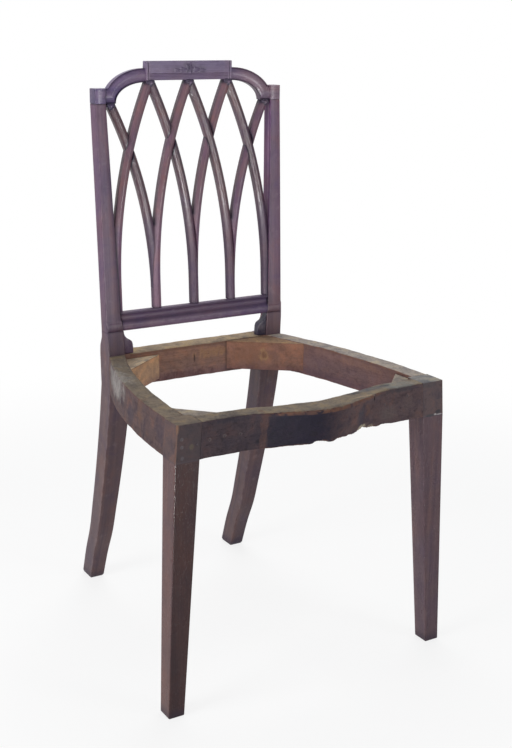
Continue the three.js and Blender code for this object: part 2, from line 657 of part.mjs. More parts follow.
// Everything in front of, or behind, the middle of the bars' thickness
function lapSlab(inFront) {
  const reach = CREST_WIDTH;
  const levels = [STAY_TOP - OVERRUN, ...stations(STAY_TOP, TABLET_TOP, BAR_STEPS)];
  const middle = BAR_SETBACK + BAR_THICKNESS / 2;
  const rings = levels.map((z) => {
    const near = backFace(z) + middle + (inFront ? GLUE_GAP / 2 : -GLUE_GAP / 2);
    const far = near + (inFront ? -SEAT_DEPTH : SEAT_DEPTH);
    return [[-reach, near], [reach, near], [reach, far], [-reach, far]]
      .map(([x, y]) => new THREE.Vector3(x, y, z));
  });
  return loft(rings);
}

const IN_FRONT = lapSlab(true);
const BEHIND = lapSlab(false);

// Height over which a scarfed bar stands clear of its whole neighbour by the thickness of its tip
function scarfStart(spec, neighbour) {
  const clear = (z) => Math.abs(barCentre(spec, z) - barCentre(neighbour, z)) >= SCARF_TIP + GLUE_GAP;
  return stations(STAY_TOP, CREST_JOINT, Math.round(LATTICE_HEIGHT / GLUE_GAP)).find(clear);
}

// Everything past the middle of an apex, away from the bar's own side
function pastApex(spec) {
  const apex = apexes()[spec.apex];
  const lean = Math.sign(apex.x - pierX(spec.pier));
  const near = apex.x + lean * -GLUE_GAP / 2;
  return box(
    [near, POST_FACE - OVERRUN, STAY_TOP],
    [near + lean * BAY_WIDTH, POST_FACE + BACK_RAKE + STILE_DEPTH + OVERRUN, TABLET_TOP],
  );
}

// Rounded crotch where two bars meet under the crest
function crotch(apex) {
  const low = apex.z - CROTCH_DROP;
  const points = [[apex.x - BAR_WIDTH / 2, apex.z - OVERRUN], [apex.x - CROTCH_WIDTH / 2, low],
    [apex.x, low + CROTCH_RISE], [apex.x + CROTCH_WIDTH / 2, low], [apex.x + BAR_WIDTH / 2, apex.z - OVERRUN]];
  const front = backFace(apex.z) + BAR_SETBACK + BAR_CAMBER;
  return plate(points, front, front + BAR_THICKNESS - BAR_CAMBER - GLUE_GAP);
}

function latticeBar(spec) {
  const apex = apexes()[spec.apex];
  let body = barBlank(spec, 0);
  if (apexHasTwo(spec)) body = body.add(crotch(apex));
  const crossing = BARS.find((other) => other.pier === spec.apex && other.apex === spec.pier);
  const lap = barBlank(crossing, GLUE_GAP).intersect(spec.over ? BEHIND : IN_FRONT);
  body = body.subtract(lap);
  if (apexHasTwo(spec)) body = body.subtract(pastApex(spec));
  body = body.subtract(boss(apex, GLUE_GAP));
  if (!spec.whole) {
    const neighbour = BARS.find((other) => other.pier === spec.pier && other.whole);
    const tip = scarfStart(spec, neighbour);
    const reach = CREST_WIDTH;
    body = body
      .subtract(barBlank(neighbour, GLUE_GAP))
      .subtract(box([-reach, POST_FACE - reach, STAY_TOP - OVERRUN], [reach, POST_FACE + reach, tip]));
  } else {
    body = body.add(box(...barFoot(spec)));
  }
  MIRROR.forEach((side) => {
    body = body.subtract(besidePost(side, STAY_TOP - OVERRUN, CREST_JOINT, GLUE_GAP));
  });
  const head = box(...barHead(spec));
  return largest(body.add(head));
}

const apexHasTwo = (spec) => spec.apex !== 0 && spec.apex !== 4;

// The main body where a cut leaves crumbs
function largest(body) {
  const parts = body.decompose();
  return parts.reduce((best, part) => (part.volume() > best.volume() ? part : best));
}

// Side seat rail, bowed outwards, from the rear post to the front leg
function sideRail(side) {
  const rear = POST_FACE - GLUE_GAP;
  const front = LEG_BACK + GLUE_GAP;
  const rings = stations(rear, front, CURVE_STEPS).map((y) => {
    const outer = sideOutside(y);
    const inner = outer - SIDE_RAIL_THICKNESS;
    const section = [[outer, SEAT_HEIGHT], [outer + flareAt(y), RAIL_BOTTOM],
      [inner, RAIL_BOTTOM], [inner, SEAT_HEIGHT]];
    return section.map(([x, z]) => new THREE.Vector3(side * x, y, z));
  });
  return loft(rings).add(box(...sideTenonRear(side))).add(box(...sideTenonFront(side)));
}

// Inner face of the front rail at a place along it
const frontRailInside = (x) => SEAT_FRONT + FRONT_RAIL_THICKNESS - FRONT_BOW_INSIDE * swell(x, BOW_SPAN_TOP);

function frontRail() {
  const reach = SEAT_FRONT_WIDTH / 2 - LEG_TOP_SIZE - GLUE_GAP;
  const rings = stations(-reach, reach, 2 * CURVE_STEPS).map((x) => {
    const flare = 1 + RAIL_FLARE / reach;
    const topFace = SEAT_FRONT - FRONT_BOW_TOP * swell(x, BOW_SPAN_TOP);
    const lowFace = SEAT_FRONT - FRONT_BOW_BOTTOM * swell(x, BOW_SPAN_BOTTOM);
    const section = [[x, topFace, SEAT_HEIGHT], [x * flare, lowFace, RAIL_BOTTOM],
      [x * flare, frontRailInside(x), RAIL_BOTTOM], [x, frontRailInside(x), SEAT_HEIGHT]];
    return section.map(([px, py, pz]) => new THREE.Vector3(px, py, pz));
  });
  return MIRROR.reduce((rail, side) => rail.add(box(...frontTenon(side))), loft(rings));
}

function rearRail() {
  const reach = SEAT_REAR_WIDTH / 2;
  const rail = box(
    [-reach, POST_FACE + REAR_RAIL_SETBACK, RAIL_BOTTOM],
    [reach, POST_FACE + POST_SEAT_DEPTH, SEAT_HEIGHT],
  );
  return MIRROR.reduce((body, side) => body
    .subtract(besidePost(side, RAIL_BOTTOM - OVERRUN, SEAT_HEIGHT, GLUE_GAP))
    .add(box(...rearTenon(side))), rail);
}

// One level of a front leg, smaller all round by an inset
function legRing(side, z, size, inset) {
  const outer = legOutside(z);
  return [[outer - inset, SEAT_FRONT + inset], [outer - size + inset, SEAT_FRONT + inset],
    [outer - size + inset, SEAT_FRONT + size - inset], [outer - inset, SEAT_FRONT + size - inset]]
    .map(([x, y]) => new THREE.Vector3(side * x, y, z));
}

// Front leg: square at the rails, tapered on its two inner faces to the foot
function frontLeg(side) {
  const footTop = 2 * FOOT_CHAMFER;
  const footTopSize = lerp(LEG_FOOT_SIZE, LEG_TOP_SIZE, footTop / RAIL_BOTTOM);
  return loft([
    legRing(side, 0, LEG_FOOT_SIZE, FOOT_CHAMFER),
    legRing(side, footTop, footTopSize, 0),
    legRing(side, RAIL_BOTTOM, LEG_TOP_SIZE, 0),
    legRing(side, SEAT_HEIGHT, LEG_TOP_SIZE, 0),
  ]).subtract(socket(...sideTenonFront(side))).subtract(socket(...frontTenon(side)));
}

// Block glued across a front corner and cut out round the leg
function frontBlock(side, drop) {
  const railInside = (y) => sideOutside(y) - SIDE_RAIL_THICKNESS - GLUE_GAP;
  const frontFace = (x) => frontRailInside(x) + GLUE_GAP;
  const nearX = railInside(LEG_BACK);
  const farX = nearX - FRONT_BLOCK_LEG;
  const farY = frontFace(nearX) + FRONT_BLOCK_LEG;
  const alongFront = stations(nearX, farX, 5).map((x) => [x, frontFace(x)]);
  const alongSide = stations(farY, LEG_BACK, 3).map((y) => [railInside(y), y]);
  const points = [...alongFront, ...alongSide].map(([x, y]) => [side * x, y]);
  const leg = loft([RAIL_BOTTOM, SEAT_HEIGHT].map((z) => legRing(side, z, LEG_TOP_SIZE, -GLUE_GAP)));
  return slab(points, RAIL_BOTTOM + BLOCK_LIFT, SEAT_HEIGHT - drop).subtract(leg);
}

// Block glued across a rear corner, against both rails and the face of the post
function rearBlock(side, leg, drop) {
  const rearFace = POST_FACE + REAR_RAIL_SETBACK - GLUE_GAP;
  const postFace = POST_FACE - GLUE_GAP;
  const postEdge = postInside(RAIL_BOTTOM) - GLUE_GAP;
  const railInside = (y) => sideOutside(y) - SIDE_RAIL_THICKNESS - GLUE_GAP;
  const farX = railInside(postFace) - leg;
  const farY = postFace - leg;
  const alongSide = stations(postFace, farY, 4).map((y) => [railInside(y), y]);
  const outline = [[farX, rearFace], [postEdge, rearFace], [postEdge, postFace], ...alongSide];
  const points = outline.map(([x, y]) => [side * x, y]);
  return slab(points, RAIL_BOTTOM + BLOCK_LIFT, SEAT_HEIGHT - drop);
}

// Scrolled bracket in the corner of the rear rail and a post
function seatBracket(side) {
  const foot = SEAT_HEIGHT + 2 * GLUE_GAP;
  const head = STAY_BOTTOM - GLUE_GAP;
  const reachAt = (z) => postInside(z) - GLUE_GAP;
  const scroll = BRACKET_SHARES.map(([out, up]) => {
    const z = lerp(foot, head, up);
    return [reachAt(head) - out * BRACKET_REACH, z];
  });
  const outline = [[reachAt(head), head], ...scroll, [reachAt(foot), foot]];
  const points = outline.map(([x, z]) => [side * x, z]);
  const front = backFace(STAY_BOTTOM) + BRACKET_SETBACK;
  return plate(points, front, front + BRACKET_DEPTH);
}

// Finishes
const polished = new THREE.MeshStandardMaterial({ color: 0x6b525a, roughness: 0.38, metalness: 0 });
const shadedWood = new THREE.MeshStandardMaterial({ color: 0x5d4950, roughness: 0.42, metalness: 0 });
const bareRail = new THREE.MeshStandardMaterial({ color: 0x5a4742, roughness: 0.75, metalness: 0 });
const stainedRail = new THREE.MeshStandardMaterial({ color: 0x43373b, roughness: 0.7, metalness: 0 });
const rearWood = new THREE.MeshStandardMaterial({ color: 0x8a6850, roughness: 0.8, metalness: 0 });
const blockWood = new THREE.MeshStandardMaterial({ color: 0x94765a, roughness: 0.85, metalness: 0 });

const chair = new THREE.Group();
function place(name, body, material) {
  const mesh = new THREE.Mesh(geometryOf(body), material);
  mesh.name = name;
  chair.add(mesh);
}

const SIDE_NAMES = { '-1': 'left', 1: 'right' };
MIRROR.forEach((side) => {
  const hand = SIDE_NAMES[side];
  const isLeft = side < 0;
  place(`rear_post_${hand}`, rearPost(side), polished);
  place(`side_seat_rail_${hand}`, sideRail(side), bareRail);
  place(`front_leg_${hand}`, frontLeg(side), polished);
  place(`corner_block_front_${hand}`, frontBlock(side, isLeft ? BLOCK_DROP : RIGHT_FRONT_BLOCK_DROP), blockWood);
  place(
    `corner_block_rear_${hand}`,
    rearBlock(side, isLeft ? REAR_LEFT_BLOCK_LEG : REAR_RIGHT_BLOCK_LEG, isLeft ? LEFT_REAR_BLOCK_DROP : BLOCK_DROP),
    blockWood,
  );
  place(`seat_bracket_${hand}`, seatBracket(side), shadedWood);
});
place('crest_rail', crestRail(), polished);
place('stay_rail', stayRail(), polished);
BARS.forEach((spec) => place(spec.name, latticeBar(spec), shadedWood));
place('rear_seat_rail', rearRail(), rearWood);
place('front_seat_rail', frontRail(), stainedRail);

export default chair;
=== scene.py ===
"""Square-back side chair of mahogany, stripped of its upholstery: the dressed pieces and the studio.

Metres, +Z up, the front faces -Y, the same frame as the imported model.
"""
from collections import namedtuple
from functools import reduce

import bpy
import numpy as np
from bpy.props import FloatProperty, FloatVectorProperty, PointerProperty
from mathutils import Matrix, Vector


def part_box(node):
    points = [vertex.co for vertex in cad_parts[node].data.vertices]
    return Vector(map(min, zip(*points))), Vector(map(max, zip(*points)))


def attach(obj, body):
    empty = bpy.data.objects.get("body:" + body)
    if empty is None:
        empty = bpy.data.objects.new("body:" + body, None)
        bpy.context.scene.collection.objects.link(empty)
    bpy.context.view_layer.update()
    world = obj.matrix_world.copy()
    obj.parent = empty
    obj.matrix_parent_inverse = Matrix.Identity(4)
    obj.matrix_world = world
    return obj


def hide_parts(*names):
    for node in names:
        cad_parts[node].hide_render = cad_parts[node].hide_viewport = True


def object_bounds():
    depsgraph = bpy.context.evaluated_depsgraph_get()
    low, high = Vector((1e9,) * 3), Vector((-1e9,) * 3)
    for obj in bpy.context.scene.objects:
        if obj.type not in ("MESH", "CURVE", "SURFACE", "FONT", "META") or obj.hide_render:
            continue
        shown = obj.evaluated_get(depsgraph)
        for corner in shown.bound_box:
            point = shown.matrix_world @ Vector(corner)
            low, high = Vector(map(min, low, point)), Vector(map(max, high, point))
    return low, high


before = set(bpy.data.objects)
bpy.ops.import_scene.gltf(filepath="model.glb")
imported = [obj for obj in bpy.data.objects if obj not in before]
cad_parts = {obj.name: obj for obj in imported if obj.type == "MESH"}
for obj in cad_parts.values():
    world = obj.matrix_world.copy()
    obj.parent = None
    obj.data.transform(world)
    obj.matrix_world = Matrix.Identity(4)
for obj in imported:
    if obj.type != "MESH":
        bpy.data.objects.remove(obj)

bl_info = {
    "name": "Lattice back side chair",
    "version": (1, 0, 0),
    "blender": (4, 5, 0),
    "location": "View3D > Sidebar > Chair",
    "description": "Mahogany side chair frame with a lattice back, its seat rails bare",
    "category": "Object",
}

SOLID_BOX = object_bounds()
HANDS = {"left": -1, "right": 1}

# Heights
SEAT_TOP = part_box("rear_seat_rail")[1][2]
RAIL_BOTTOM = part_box("rear_seat_rail")[0][2]
STAY_BOTTOM = 0.4868
STAY_TOP = 0.5172
CREST_JOINT = 0.8498
SHOULDER_TOP = 0.8732
ARCH_TOP = 0.9029
TABLET_BOTTOM = 0.884
TABLET_TOP = SOLID_BOX[1][2]
GLUE_GAP = 0.0003

# Seat frame
SEAT_FRONT = -0.2457
POST_FACE = 0.1248
LEG_BACK = -0.2074
SEAT_FRONT_WIDTH = 0.4592
SEAT_REAR_WIDTH = 0.3298
SIDE_RAIL_THICKNESS = 0.029
FRONT_RAIL_THICKNESS = 0.028
REAR_RAIL_SETBACK = 0.0006
SIDE_BOW_SHARE = 0.448
FLARE_POWER = 3
SIDE_BOW_TOE = 0.001
FRONT_BOW_TOP = 0.036
FRONT_BOW_BOTTOM = 0.027
FRONT_BOW_INSIDE = 0.023
BOW_SPAN_TOP = 0.300
BOW_SPAN_BOTTOM = 0.250
RAIL_FLARE = 0.004

# Legs and posts
LEG_TOP_SIZE = 0.0383
LEG_FOOT_SIZE = 0.0252
LEG_FOOT_DEPTH = 0.0278
LEG_SPLAY = 0.014
REAR_FOOT_SPREAD = 0.318
REAR_FOOT_WIDTH = 0.026
REAR_LEG_DEPTH = 0.036
LEG_SWEEP = 0.1209
POST_SEAT_WIDTH = 0.0385
POST_SEAT_DEPTH = 0.0365
STILE_DEPTH = 0.023
STILE_SPREAD = 0.0014
STILE_RAIL_WIDTH = 0.029
STILE_FOOT_WIDTH = 0.026
STILE_TOP_WIDTH = 0.0185
GROOVE_PLACE = 0.0034
FILLET_PLACE = 0.0074
POST_GROOVE = 0.0007
CREST_WIDTH = 0.335
BACK_RAKE = 0.018
RAKE_POWER = 1.12
LEG_SWEEP_SHARES = np.array([[0, 0], [0.13, 0.086], [0.3, 0.222], [0.45, 0.357], [0.62, 0.526],
                             [0.735, 0.645], [0.862, 0.832], [1, 1]])
POST_STEP_SHARES = np.array([[0, 0], [0.3, 0.18], [0.5, 0.5], [0.72, 0.88], [1, 1]])

# Stay rail: share of its height, share of the moulding's depth, negative is proud
STAY_RAIL_DEPTH = 0.016
STAY_CHAMFER = 0.002
STAY_MOULD_DEPTH = 0.005
STAY_MOULD_SHARES = np.array([[0, 0.35], [0.05, 0.02], [0.16, -0.26], [0.3, -0.32], [0.42, -0.16],
                              [0.5, 0.22], [0.58, 0.72], [0.7, 0.95], [0.82, 0.8], [0.88, 0.45],
                              [0.9, 0.3], [1, 0.3]])

# Crest
TABLET_WIDTH = 0.1566
TABLET_SETBACK = 0.0045
TABLET_THICKNESS = 0.0125
TABLET_MARGIN = 0.0016
FILLET_WIDTH = 0.003
REED_HEIGHT = 0.0022
ARCH_END_WIDTH = {"left": 0.0175, "right": 0.0195}
ARCH_FOOT_INSET = 0.005
ARCH_INSET = 0.0017
ARCH_LIP = {"left": 0.0028, "right": 0.0019}
ARCH_SETBACK = 0.0055
ARCH_SHOULDER_SETBACK = 0.0015
ARCH_THICKNESS = 0.0105
BOSS_WIDTH = 0.0142
BOSS_HEIGHT = 0.0094
BOSS_SETBACK = 0.0014
BOSS_RISE = 0.0032

# Lattice
BAY_WIDTH = 0.0706
BAR_WIDTH = 0.0142
BAR_SETBACK = 0.003
BAR_THICKNESS = 0.0135
BAR_CROWN_POWER = 1.55
SPRING_HEIGHT = 0.043
SPRING_SHOULDER = 0.023
CROTCH_DROP = 0.023
SCARF_TIP = 0.00008
SCARF_LAP = 0.0002
OUTER_APEXES = (0, 4)
Bar = namedtuple("Bar", "name pier apex over whole")
BARS = [Bar(f"lattice_bar_{number}", *facts) for number, facts in enumerate([
    (0, 1, True, True), (1, 0, False, False), (1, 2, True, True), (2, 1, False, True),
    (2, 3, False, False), (3, 2, True, True), (3, 4, False, False), (4, 3, True, True)], 1)]

# Corner blocks and brackets
FRONT_BLOCK_LEG = 0.050
REAR_BLOCK_LEG = {"left": 0.062, "right": 0.080}
REAR_BLOCK_DROP = {"left": 0.008, "right": 0.001}
FRONT_BLOCK_DROP = {"left": 0.001, "right": 0.005}
BLOCK_LIFT = 0.005
BRACKET_REACH = 0.0175
BRACKET_DEPTH = 0.014
BRACKET_SETBACK = 0.0008
BRACKET_SHARES = np.array([[0, 1], [0.14, 1], [0.3, 0.98], [0.43, 0.94], [0.53, 0.84],
                           [0.6, 0.63], [0.67, 0.38], [0.77, 0.19], [0.88, 0.09], [1, 0.04]])

# Roundings, those in lists for the corners of a section in their order
FOOT_EDGE = 0.0016
FOOT_EDGE_HEIGHT = 0.004
LEG_TOP_ROUND = 0.0018
BAR_ROUNDS = [0.0008, 0.0008, 0.0014, 0.0014]
CREST_ROUNDS = [0.0010, 0.0012, 0.0014, 0.0012]
SIDE_RAIL_ROUNDS = [0.0032, 0.0012, 0.0010, 0.0028]
REAR_RAIL_ROUNDS = [0.0034, 0.001, 0.0012, 0.0014]
FRONT_RAIL_ROUNDS = [0.0016, 0.0012, 0.0020]
FRONT_RAIL_RUB = (0.0030, 0.0066)
BLOCK_ROUND = 0.0012
BRACKET_ROUND = 0.0009
FRONT_REACH = 0.006
GROOVE_WIDTH = 0.0008
SHARP_ANGLE = 38

# Damage. Tacks: place along X, height. Chips: place, half length, height lost at the lower edge.
# The slots and the split: place along X, height. Their sizes: along X, up, and in depth.
TACKS = [(-0.2231, 0.4262), (-0.2232, 0.4147), (-0.2000, 0.4150), (-0.1796, 0.4188), (-0.1558, 0.4207),
         (-0.1305, 0.4196), (0.0410, 0.4290), (0.1180, 0.4250), (0.1620, 0.4310)]
TACK_RADIUS = 0.0010
CHIPS = [(-0.045, 0.030, 0.35), (-0.012, 0.012, 0.9), (0.024, 0.010, 0.75), (0.046, 0.010, 0.95),
         (0.070, 0.014, 1.5), (0.092, 0.010, 0.8), (0.120, 0.009, 0.4)]
SLOT = (0.0931, 0.4400)
SLOT_SIZE = (0.0007, 0.0034, 0.0030)
SPLIT = (0.0620, 0.4432)
SPLIT_SIZE = (0.0150, 0.0007, 0.0012)
REAR_SLOT = (-0.0062, 0.4244)
REAR_SLOT_SIZE = (0.0013, 0.0066, 0.0015)

# Camera
CAMERA_PLACE = (-0.9473, -1.6548, 0.9770)
CAMERA_TARGET = (-0.0128, -0.0896, 0.4508)
CAMERA_ROLL = np.radians(0.54)
CAMERA_LENS = 58.93
SENSOR = 36.0


def paint(red, green, blue):
    """A colour written as it looks on a screen, turned to the linear value that a shader takes."""
    share = np.array([red, green, blue]) / 255
    return tuple(np.where(share <= 0.04045, share / 12.92, ((share + 0.055) / 1.055) ** 2.4))


def length(label, about, value):
    return FloatProperty(name=label, description=about, default=value, min=0, unit="LENGTH", precision=4)


def factor(label, about, value, high=1.0):
    return FloatProperty(name=label, description=about, default=value, min=0, max=high, subtype="FACTOR")


def power(label, about, value):
    return FloatProperty(name=label, description=about, default=value, min=0, unit="POWER")


def colour(label, about, *value):
    return FloatVectorProperty(name=label, description=about, default=paint(*value), size=3, min=0, max=1,
                               subtype="COLOR")


class ChairShape(bpy.types.PropertyGroup):
    """Sizes that change how crisp or worn the pieces are."""
    edge_round: length("Edge rounding", "Rubbing of the arrises of the polished pieces", 0.0013)
    stile_round: length("Stile rounding", "Rounding of the front arrises of the stiles", 0.0020)
    stile_camber: length("Stile moulding", "Rise of the moulded front of the stiles", 0.0013)
    bar_camber: length("Bar moulding", "Rise of the ridge along the lattice bars", 0.0040)
    carving: length("Carving", "Depth of the carved leaf on the tablet", 0.0011)
    reeds: length("Reeds", "Depth of the reeds along the foot of the tablet", 0.0009)
    unevenness: length("Unevenness", "How far the bare rails wander from true", 0.0005)
    erosion: length("Worn edge", "Loss under the swell of the front rail", 0.0045)
    tack_holes: length("Tack holes", "Depth of the tack holes in the front rail", 0.0012)


class ChairFinish(bpy.types.PropertyGroup):
    """Colours and gloss of the wood."""
    stile_left: colour("Left stile", "Polish on the left post's upper part", 114, 87, 109)
    stile_right: colour("Right stile", "Polish on the right post's upper part", 126, 98, 120)
    rear_leg: colour("Rear leg", "Rubbed polish on the rear legs", 92, 70, 74)
    leg_left: colour("Left front leg", "Polish of the left front leg", 92, 64, 64)
    leg_right: colour("Right front leg", "Polish of the right front leg", 106, 84, 90)
    crest: colour("Crest", "Polish of the crest rail", 124, 106, 142)
    crest_rubbed: colour("Rubbed crest", "Polish of the crest rail's right end", 144, 122, 140)
    bar: colour("Lattice", "Polish of the lattice bars", 118, 90, 100)
    stay: colour("Stay rail", "Polish of the stay rail", 104, 82, 106)
    bracket_left: colour("Left bracket", "Polish of the left seat bracket", 90, 54, 84)
    bracket_right: colour("Right bracket", "Polish of the right seat bracket", 52, 46, 70)
    # Colour of the painted shade in hollows, creases and crevices, and of the old polish there
    shade_and_old_polish: colour("Old polish", "Polish gathered in the hollows", 34, 26, 58)
    side_outer: colour("Side rail outside", "Outer faces of the side rails", 88, 70, 70)
    side_inner: colour("Side rail inside", "Inner faces of the side rails", 108, 84, 84)
    stain: colour("Front rail stain", "Blackened polish on the front rail", 28, 20, 42)
    front_wood: colour("Front rail wood", "Rubbed wood of the front rail", 92, 74, 76)
    rear_wood: colour("Rear rail wood", "Inner face of the rear rail", 138, 106, 94)
    block_gold: colour("Pale block", "Rear block at the left", 184, 148, 118)
    block_brown: colour("Brown block", "Rear block at the right", 134, 98, 84)
    arris: colour("Rubbed arris", "Bare wood along the arrises of the rails", 126, 88, 70)
    dust_left: colour("Dust", "Dust on the top of the left rail", 124, 112, 98)
    dust_right: colour("Pale dust", "Dust on the top of the right rail", 168, 158, 150)
    dust_gold: colour("Golden dust", "Dust on the top of the rear rail", 176, 156, 132)
    dust_corner: colour("Corner dust", "Dust on the top of the left rear block", 210, 190, 164)
    dust_brown: colour("Brown dust", "Dust on the top of the right rear block", 160, 132, 106)
    dust_block: colour("Block dust", "Dust on the tops of the front blocks", 156, 146, 134)
    leg_top_left: colour("Left leg top", "Dust on the top of the left front leg", 112, 98, 84)
    leg_top_right: colour("Right leg top", "Dust on the top of the right front leg", 136, 132, 128)
    gloss: factor("Polish roughness", "Roughness of the polished wood", 0.22)
    bare_roughness: factor("Bare roughness", "Roughness of the bare wood", 0.72)


class ChairStudio(bpy.types.PropertyGroup):
    """Floor and lamps."""
    floor: colour("Floor", "Colour of the floor", 246, 246, 246)
    key: power("Key lamp", "Power of the large lamp on the left", 34)
    card: power("Low cards", "Power of the two small cards that show in the polish alone", 23)
    front_card: power("Front card", "Power of the large card that shows in the polish alone", 24)
    fill: power("Fill lamp", "Power of the lamp at the right front", 9)
    top: power("Top lamp", "Power of the lamp over the chair", 24)
    sky: factor("Surround", "Strength of the pale room light", 0.34, 4.0)


# Curves and surfaces

def blend(low, high, share):
    """The value at a share of the way from low to high."""
    return low + (high - low) * share


def along(value, start, end):
    """The share of the way from start to end."""
    return (value - start) / (end - start)


def ease(value, start, end):
    """0 before start, 1 past end, and 3t^2 - 2t^3 between."""
    t = np.clip(along(value, start, end), 0, 1)
    return t * t * (3 - 2 * t)


def bell(distance, width):
    """1 at no distance, falling as e to the power of minus the square of distance over width."""
    return np.exp(-(distance / width) ** 2)


def plateau(distance, width, power=4):
    """A bell curve with a flat top, from a higher power."""
    return np.exp(-np.abs(distance / width) ** power)


def crown(place, power):
    """1 on the middle line of a moulded front and 0 at its edges: 1 - |2 place|^power."""
    return 1 - np.minimum(1, np.abs(2 * place)) ** power


def most(*layers):
    """The largest of several layers, place by place."""
    return reduce(np.maximum, layers)


def runs(*spans):
    """Stations in even steps over each span of start, end and count, in order and once each."""
    return np.unique(np.concatenate([np.linspace(*span) for span in spans]))


def points(*parts):
    """Places put together from their parts, each a number or an array."""
    return np.stack(np.broadcast_arrays(*parts), axis=-1)


def ring_of(*corners):
    """Corners that stay corners: one ring of them for each station."""
    return np.stack([points(*corner) for corner in corners], axis=-2)


def curve_through(table, share):
    """Smooth value at a share of a table: a cubic between each two points, with the slope at each
    point the mean of the slopes beside it, and none where they turn."""
    x, y = table.T
    step = np.diff(y) / np.diff(x)
    slope = np.concatenate([step[:1], (step[1:] + step[:-1]) / 2, step[-1:]])
    slope[1:-1] = np.where(step[1:] * step[:-1] <= 0, 0, slope[1:-1])
    share = np.clip(share, x[0], x[-1])
    i = np.clip(np.searchsorted(x, share, side="right") - 1, 0, len(x) - 2)
    width = x[i + 1] - x[i]
    t = (share - x[i]) / width
    return (y[i] * (1 + 2 * t) * (1 - t) ** 2 + y[i + 1] * t * t * (3 - 2 * t)
            + width * t * (1 - t) * (slope[i] * (1 - t) - slope[i + 1] * t))


def wander(places, size, seed):
    """A smooth uneven value near -1 to 1 at each place: six sine waves that cross at angles set by
    the seed, the longest `size` metres from crest to crest."""
    draw = np.random.default_rng(seed)
    total = np.zeros(places.shape[:-1])
    for octave in range(6):
        direction = draw.normal(size=3)
        direction /= np.linalg.norm(direction)
        wave = 2 * np.pi / size * 1.55 ** octave
        total += np.sin(places @ (direction * wave) + draw.uniform(0, 2 * np.pi)) / 1.45 ** octave
    return total / 2.2


def uneven(rings, amount, seed, hold):
    """Rings moved by a smooth wander in each of the three directions, less where hold is below 1."""
    return rings + amount * hold * points(*(wander(rings, 0.06, seed + k) for k in range(3)))


def soften(corners, radius, across, arc=4):
    """Closed ring through corners: each corner C gives way to the curve (1-t)^2 A + 2t(1-t) C + t^2 B
    between points A and B that lie `radius[i]` before and after it, and `across[i]` points lie on the
    straight that follows corner i. Corners are (..., count, 2 or 3)."""
    count = corners.shape[-2]
    t = np.linspace(0, 1, arc)[:, None]

    def cut(i, step):
        here = corners[..., i % count, :]
        span = corners[..., (i + step) % count, :] - here
        size = np.linalg.norm(span, axis=-1, keepdims=True)
        return (here + span * np.minimum(radius[i % count] / np.maximum(size, 1e-9), 0.48))[..., None, :]

    pieces = []
    for i in range(count):
        a, b, following = cut(i, -1), cut(i, 1), cut(i + 1, -1)
        s = np.linspace(0, 1, across[i] + 2)[1:-1, None]
        pieces += [(1 - t) ** 2 * a + 2 * t * (1 - t) * corners[..., i, None, :] + t * t * b,
                   blend(b, following, s)]
    return np.concatenate(pieces, axis=-2)


def worn_ring(across, arc=4):
    """1 at the middle of each rounded corner of a softened ring, falling to 0 on its flats."""
    corner = np.sin(np.pi * (0.15 + 0.7 * np.linspace(0, 1, arc)))
    return np.concatenate([np.concatenate([corner, np.zeros(count)]) for count in across])


def inset(outline, amount):
    """Outline moved inwards by amount: each corner goes along the sum of the normals of its two
    sides, over one plus their product."""
    ahead = np.roll(outline, -1, axis=0) - outline
    ahead /= np.maximum(np.linalg.norm(ahead, axis=1, keepdims=True), 1e-9)
    normal = points(-ahead[:, 1], ahead[:, 0])
    before = np.roll(normal, 1, axis=0)
    product = np.sum(normal * before, axis=1, keepdims=True)
    x, y = outline.T
    turn = np.sign(np.sum(x * np.roll(y, -1) - y * np.roll(x, -1)))
    return outline + turn * amount * (normal + before) / np.maximum(1 + product, 0.4)


def upright(outline, z):
    """Rings of plan points at heights z, as places in space."""
    return np.concatenate([outline, np.broadcast_to(np.reshape(z, (-1, 1, 1)), (*outline.shape[:2], 1))], -1)


def moulded(rings, front, camber, middle, width, power=2.2):
    """Front of each ring brought into a crown: y grows by camber (1 - crown) near the front."""
    nearness = 1 - np.clip((rings[..., 1] - front) / FRONT_REACH, 0, 1)
    grown = camber * (1 - crown((rings[..., 0] - middle) / width, power)) * nearness
    return points(rings[..., 0], rings[..., 1] + grown)


def rounded_ends(values, edge):
    """Stations with four more at each end, closer than the edge rounding, and the inset at each."""
    turn = np.linspace(0, np.pi / 2, 4)
    low = values[0] + edge * (1 - np.sin(turn[::-1]))
    high = values[-1] - edge * (1 - np.sin(turn))
    inner = values[(values > low[-1] + 1e-6) & (values < high[0] - 1e-6)]
    curve = edge * (1 - np.cos(turn))
    return np.concatenate([low, inner, high]), np.concatenate([curve[::-1], np.zeros(len(inner)), curve])


def rounded_stop(x, end, radius):
    """How far the edges draw in near the end of a piece, by a quarter circle."""
    return radius - np.sqrt(np.maximum(0, radius ** 2 - np.maximum(0, x - end + radius) ** 2))


def last_stations(end, radius, count):
    """Stations over the rounding at an end, closer towards it: radius times a sine before the end."""
    return end - radius + radius * np.sin(np.linspace(0.3, np.pi / 2, count))


def closed_faces(rings):
    """Four-sided faces between neighbouring rings of (m, n, 3) places, and each end closed by rungs
    from point i to point n-1-i. Turned so that they face outwards."""
    m, n = rings.shape[:2]
    index = np.arange(m * n).reshape(m, n)
    turn = np.roll(index, -1, axis=1)
    sides = np.stack([index[:-1], turn[:-1], turn[1:], index[1:]], axis=-1).reshape(-1, 4)
    i = np.arange(n // 2 - 1)
    rungs = np.stack([i, i + 1, n - 2 - i, n - 1 - i], axis=-1)
    faces = np.concatenate([sides, index[0][rungs[:, ::-1]], index[-1][rungs]])
    a, b, c, d = (rings.reshape(-1, 3)[faces[:, k]] for k in range(4))
    volume = np.sum(a * np.cross(b, c)) + np.sum(a * np.cross(c, d))
    return faces if volume > 0 else faces[:, ::-1]


